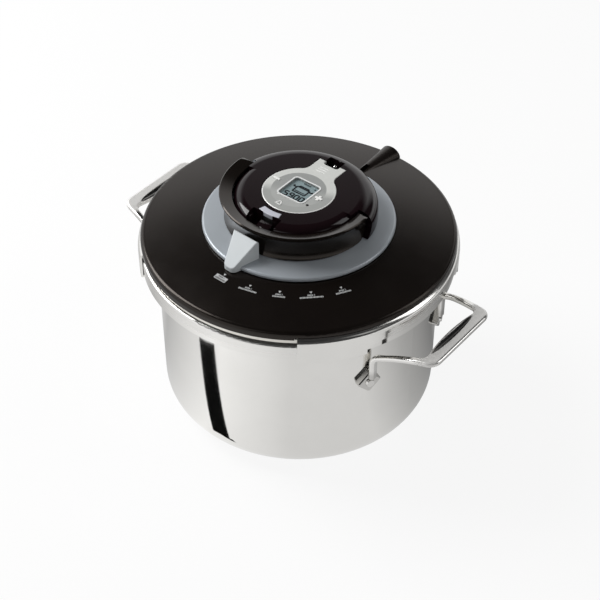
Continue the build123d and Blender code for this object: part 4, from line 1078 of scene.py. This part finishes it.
def bare_tree(owner):
    """The emptied node tree of a studio material or surround."""
    owner.use_nodes = True
    owner.node_tree.nodes.clear()
    return owner.node_tree


def show(tree, kind, shaded):
    """Link a shader to the tree's output."""
    out = tree.nodes.new(kind)
    tree.links.new(shaded, out.inputs["Surface"])


def only_reflected(thing):
    """Hide a studio piece from everything but reflections."""
    thing.visible_camera = False
    thing.visible_diffuse = False
    thing.visible_shadow = False


FLOOR_SIZE = 12
FLOOR_GREY = 0.90
FLOOR_GLOW_SHARE = 0.88


def studio_floor():
    """Pale paper that glows a little where it is seen, and keeps the part's shadow."""
    bpy.ops.mesh.primitive_plane_add(size=FLOOR_SIZE, location=(0, 0, 0))
    floor = bpy.context.active_object
    floor.name = "studio_floor"
    paper = bpy.data.materials.new("studio paper")
    tree = bare_tree(paper)
    matt = tree.nodes.new("ShaderNodeBsdfDiffuse")
    matt.inputs["Color"].default_value = (FLOOR_GREY, FLOOR_GREY, FLOOR_GREY, 1)
    glow = tree.nodes.new("ShaderNodeEmission")
    glow.inputs["Strength"].default_value = 1.0
    path = tree.nodes.new("ShaderNodeLightPath").outputs
    seen = highest(
        tree, path["Is Camera Ray"], path["Is Glossy Ray"], path["Is Transmission Ray"]
    )
    mixed = tree.nodes.new("ShaderNodeMixShader")
    tree.links.new(calc(tree, "MULTIPLY", seen, FLOOR_GLOW_SHARE), mixed.inputs["Fac"])
    tree.links.new(matt.outputs[0], mixed.inputs[1])
    tree.links.new(glow.outputs[0], mixed.inputs[2])
    show(tree, "ShaderNodeOutputMaterial", mixed.outputs[0])
    floor.data.materials.append(paper)


# Glow levels of the card round the pot, by degrees from the camera's side to its right; they paint
# the light and shade that the pot's wall reflects
SHADE_STOPS = (
    (-180, 0.62), (-145, 0.80), (-105, 0.50), (-50, 1.00), (-5, 0.72),
    (40, 0.70), (70, 0.42), (105, 0.20), (145, 0.74), (180, 0.62),
)
CARD_RADIUS = 1.6
CARD_SIDES = 96
CARD_Z = 0.4 * MM


def shade_card():
    """A round glowing card on the floor, seen only in reflections, with plain levels round the pot
    that paint the pot's reflected light and shade.
    """
    card = disc("studio_shade_card", CARD_SIDES, CARD_RADIUS, 0, 0, CARD_Z)
    only_reflected(card)
    shade = bpy.data.materials.new("studio shade")
    tree = bare_tree(shade)
    x, y, _ = split(tree, tree.nodes.new("ShaderNodeTexCoord").outputs["Object"])
    across = toward(tree, x, y, RIGHT_TURN)
    bearing = calc(tree, "ARCTAN2", across, toward(tree, x, y, CAMERA_TURN))
    ramp = tree.nodes.new("ShaderNodeValToRGB")
    tree.links.new(fit(tree, bearing, (-math.pi, math.pi), 0.0, 1.0), ramp.inputs["Fac"])
    stops = ramp.color_ramp.elements
    while len(stops) < len(SHADE_STOPS):
        stops.new(0.5)
    for stop, (angle, level) in zip(stops, SHADE_STOPS):
        stop.position = (angle + 180) / 360
        stop.color = (level, level, level, 1)
    glow = tree.nodes.new("ShaderNodeEmission")
    tree.links.new(ramp.outputs["Color"], glow.inputs["Color"])
    show(tree, "ShaderNodeOutputMaterial", glow.outputs[0])
    card.data.materials.append(shade)


STRIP_CORNERS = (
    (-0.0167, -0.1451), (0.0187, -0.1363), (-0.0773, -0.2437), (-0.1239, -0.2145),
)
STRIP_Z = 0.8 * MM
FELT_GREY = 0.004
FELT_ROUGHNESS = 0.9


def dark_strip():
    """A strip of dark felt on the floor before the pot."""
    mesh = bpy.data.meshes.new("studio_dark_strip")
    mesh.from_pydata([(x, y, STRIP_Z) for x, y in STRIP_CORNERS], [], [(0, 1, 2, 3)])
    strip = bpy.data.objects.new("studio_dark_strip", mesh)
    bpy.context.collection.objects.link(strip)
    only_reflected(strip)
    felt = bpy.data.materials.new("studio felt")
    felt.use_nodes = True
    shader = felt.node_tree.nodes["Principled BSDF"].inputs
    shader["Base Color"].default_value = (FELT_GREY, FELT_GREY, FELT_GREY, 1)
    shader["Roughness"].default_value = FELT_ROUGHNESS
    shader["Specular IOR Level"].default_value = 0.0
    mesh.materials.append(felt)


SOFT_BOX_AIM = Vector((0, 0, 0.15))


def soft_box(name, place_at, width, height, power):
    """A soft box that faces the cooker."""
    lamp = bpy.data.lights.new(name, "AREA")
    lamp.shape = "RECTANGLE"
    lamp.size = width
    lamp.size_y = height
    lamp.energy = power
    box = bpy.data.objects.new(name, lamp)
    bpy.context.collection.objects.link(box)
    box.location = place_at
    face_to(box, SOFT_BOX_AIM)


# What reflections see of the surround, by the parts of a direction of length 1
OVERHEAD = (0.48, 0.64)
OVERHEAD_LEVEL = 0.03
FRONT_TURN = 47.0
FRONT = (0.66, 0.80)
FRONT_LEVEL = 0.04
FLAG_SIDE = (0.55, 0.75)
FLAG_RISE = (0.02, 0.12)
FLAG_DEPTH = 0.96
FILL_LEVEL = 0.30


def surround():
    """White to the camera; for reflections darker overhead, behind the camera and at its right."""
    world = bpy.data.worlds.new("studio surround")
    bpy.context.scene.world = world
    tree = bare_tree(world)
    path = tree.nodes.new("ShaderNodeLightPath").outputs
    x, y, z = split(tree, tree.nodes.new("ShaderNodeTexCoord").outputs["Generated"])
    high = fit(tree, z, OVERHEAD, 1.0, OVERHEAD_LEVEL)
    front = fit(tree, toward(tree, x, y, FRONT_TURN), FRONT, 1.0, FRONT_LEVEL)
    side = fit(tree, toward(tree, x, y, RIGHT_TURN), FLAG_SIDE, 0.0, FLAG_DEPTH)
    flag = calc(tree, "MULTIPLY", side, fit(tree, z, FLAG_RISE, 0.0, 1.0))
    backdrop = calc(tree, "MULTIPLY", high, front)
    backdrop = calc(tree, "MULTIPLY", backdrop, calc(tree, "SUBTRACT", 1.0, flag))
    mirrored = highest(tree, path["Is Glossy Ray"], path["Is Transmission Ray"])
    fill = calc(tree, "MULTIPLY", calc(tree, "SUBTRACT", 1.0, mirrored), FILL_LEVEL)
    level = calc(tree, "ADD", fill, calc(tree, "MULTIPLY", mirrored, backdrop))
    air = tree.nodes.new("ShaderNodeBackground")
    air.inputs["Color"].default_value = (1, 1, 1, 1)
    tree.links.new(highest(tree, level, path["Is Camera Ray"]), air.inputs["Strength"])
    show(tree, "ShaderNodeOutputWorld", air.outputs[0])


studio_camera()
bpy.context.scene.view_settings.view_transform = "Standard"
studio_floor()
shade_card()
dark_strip()
soft_box("soft_box_left", Vector((-1.25, -0.35, 1.35)), width=0.9, height=1.2, power=28.0)
soft_box("soft_box_right", Vector((1.15, 0.75, 1.0)), width=0.6, height=1.1, power=4.0)
surround()
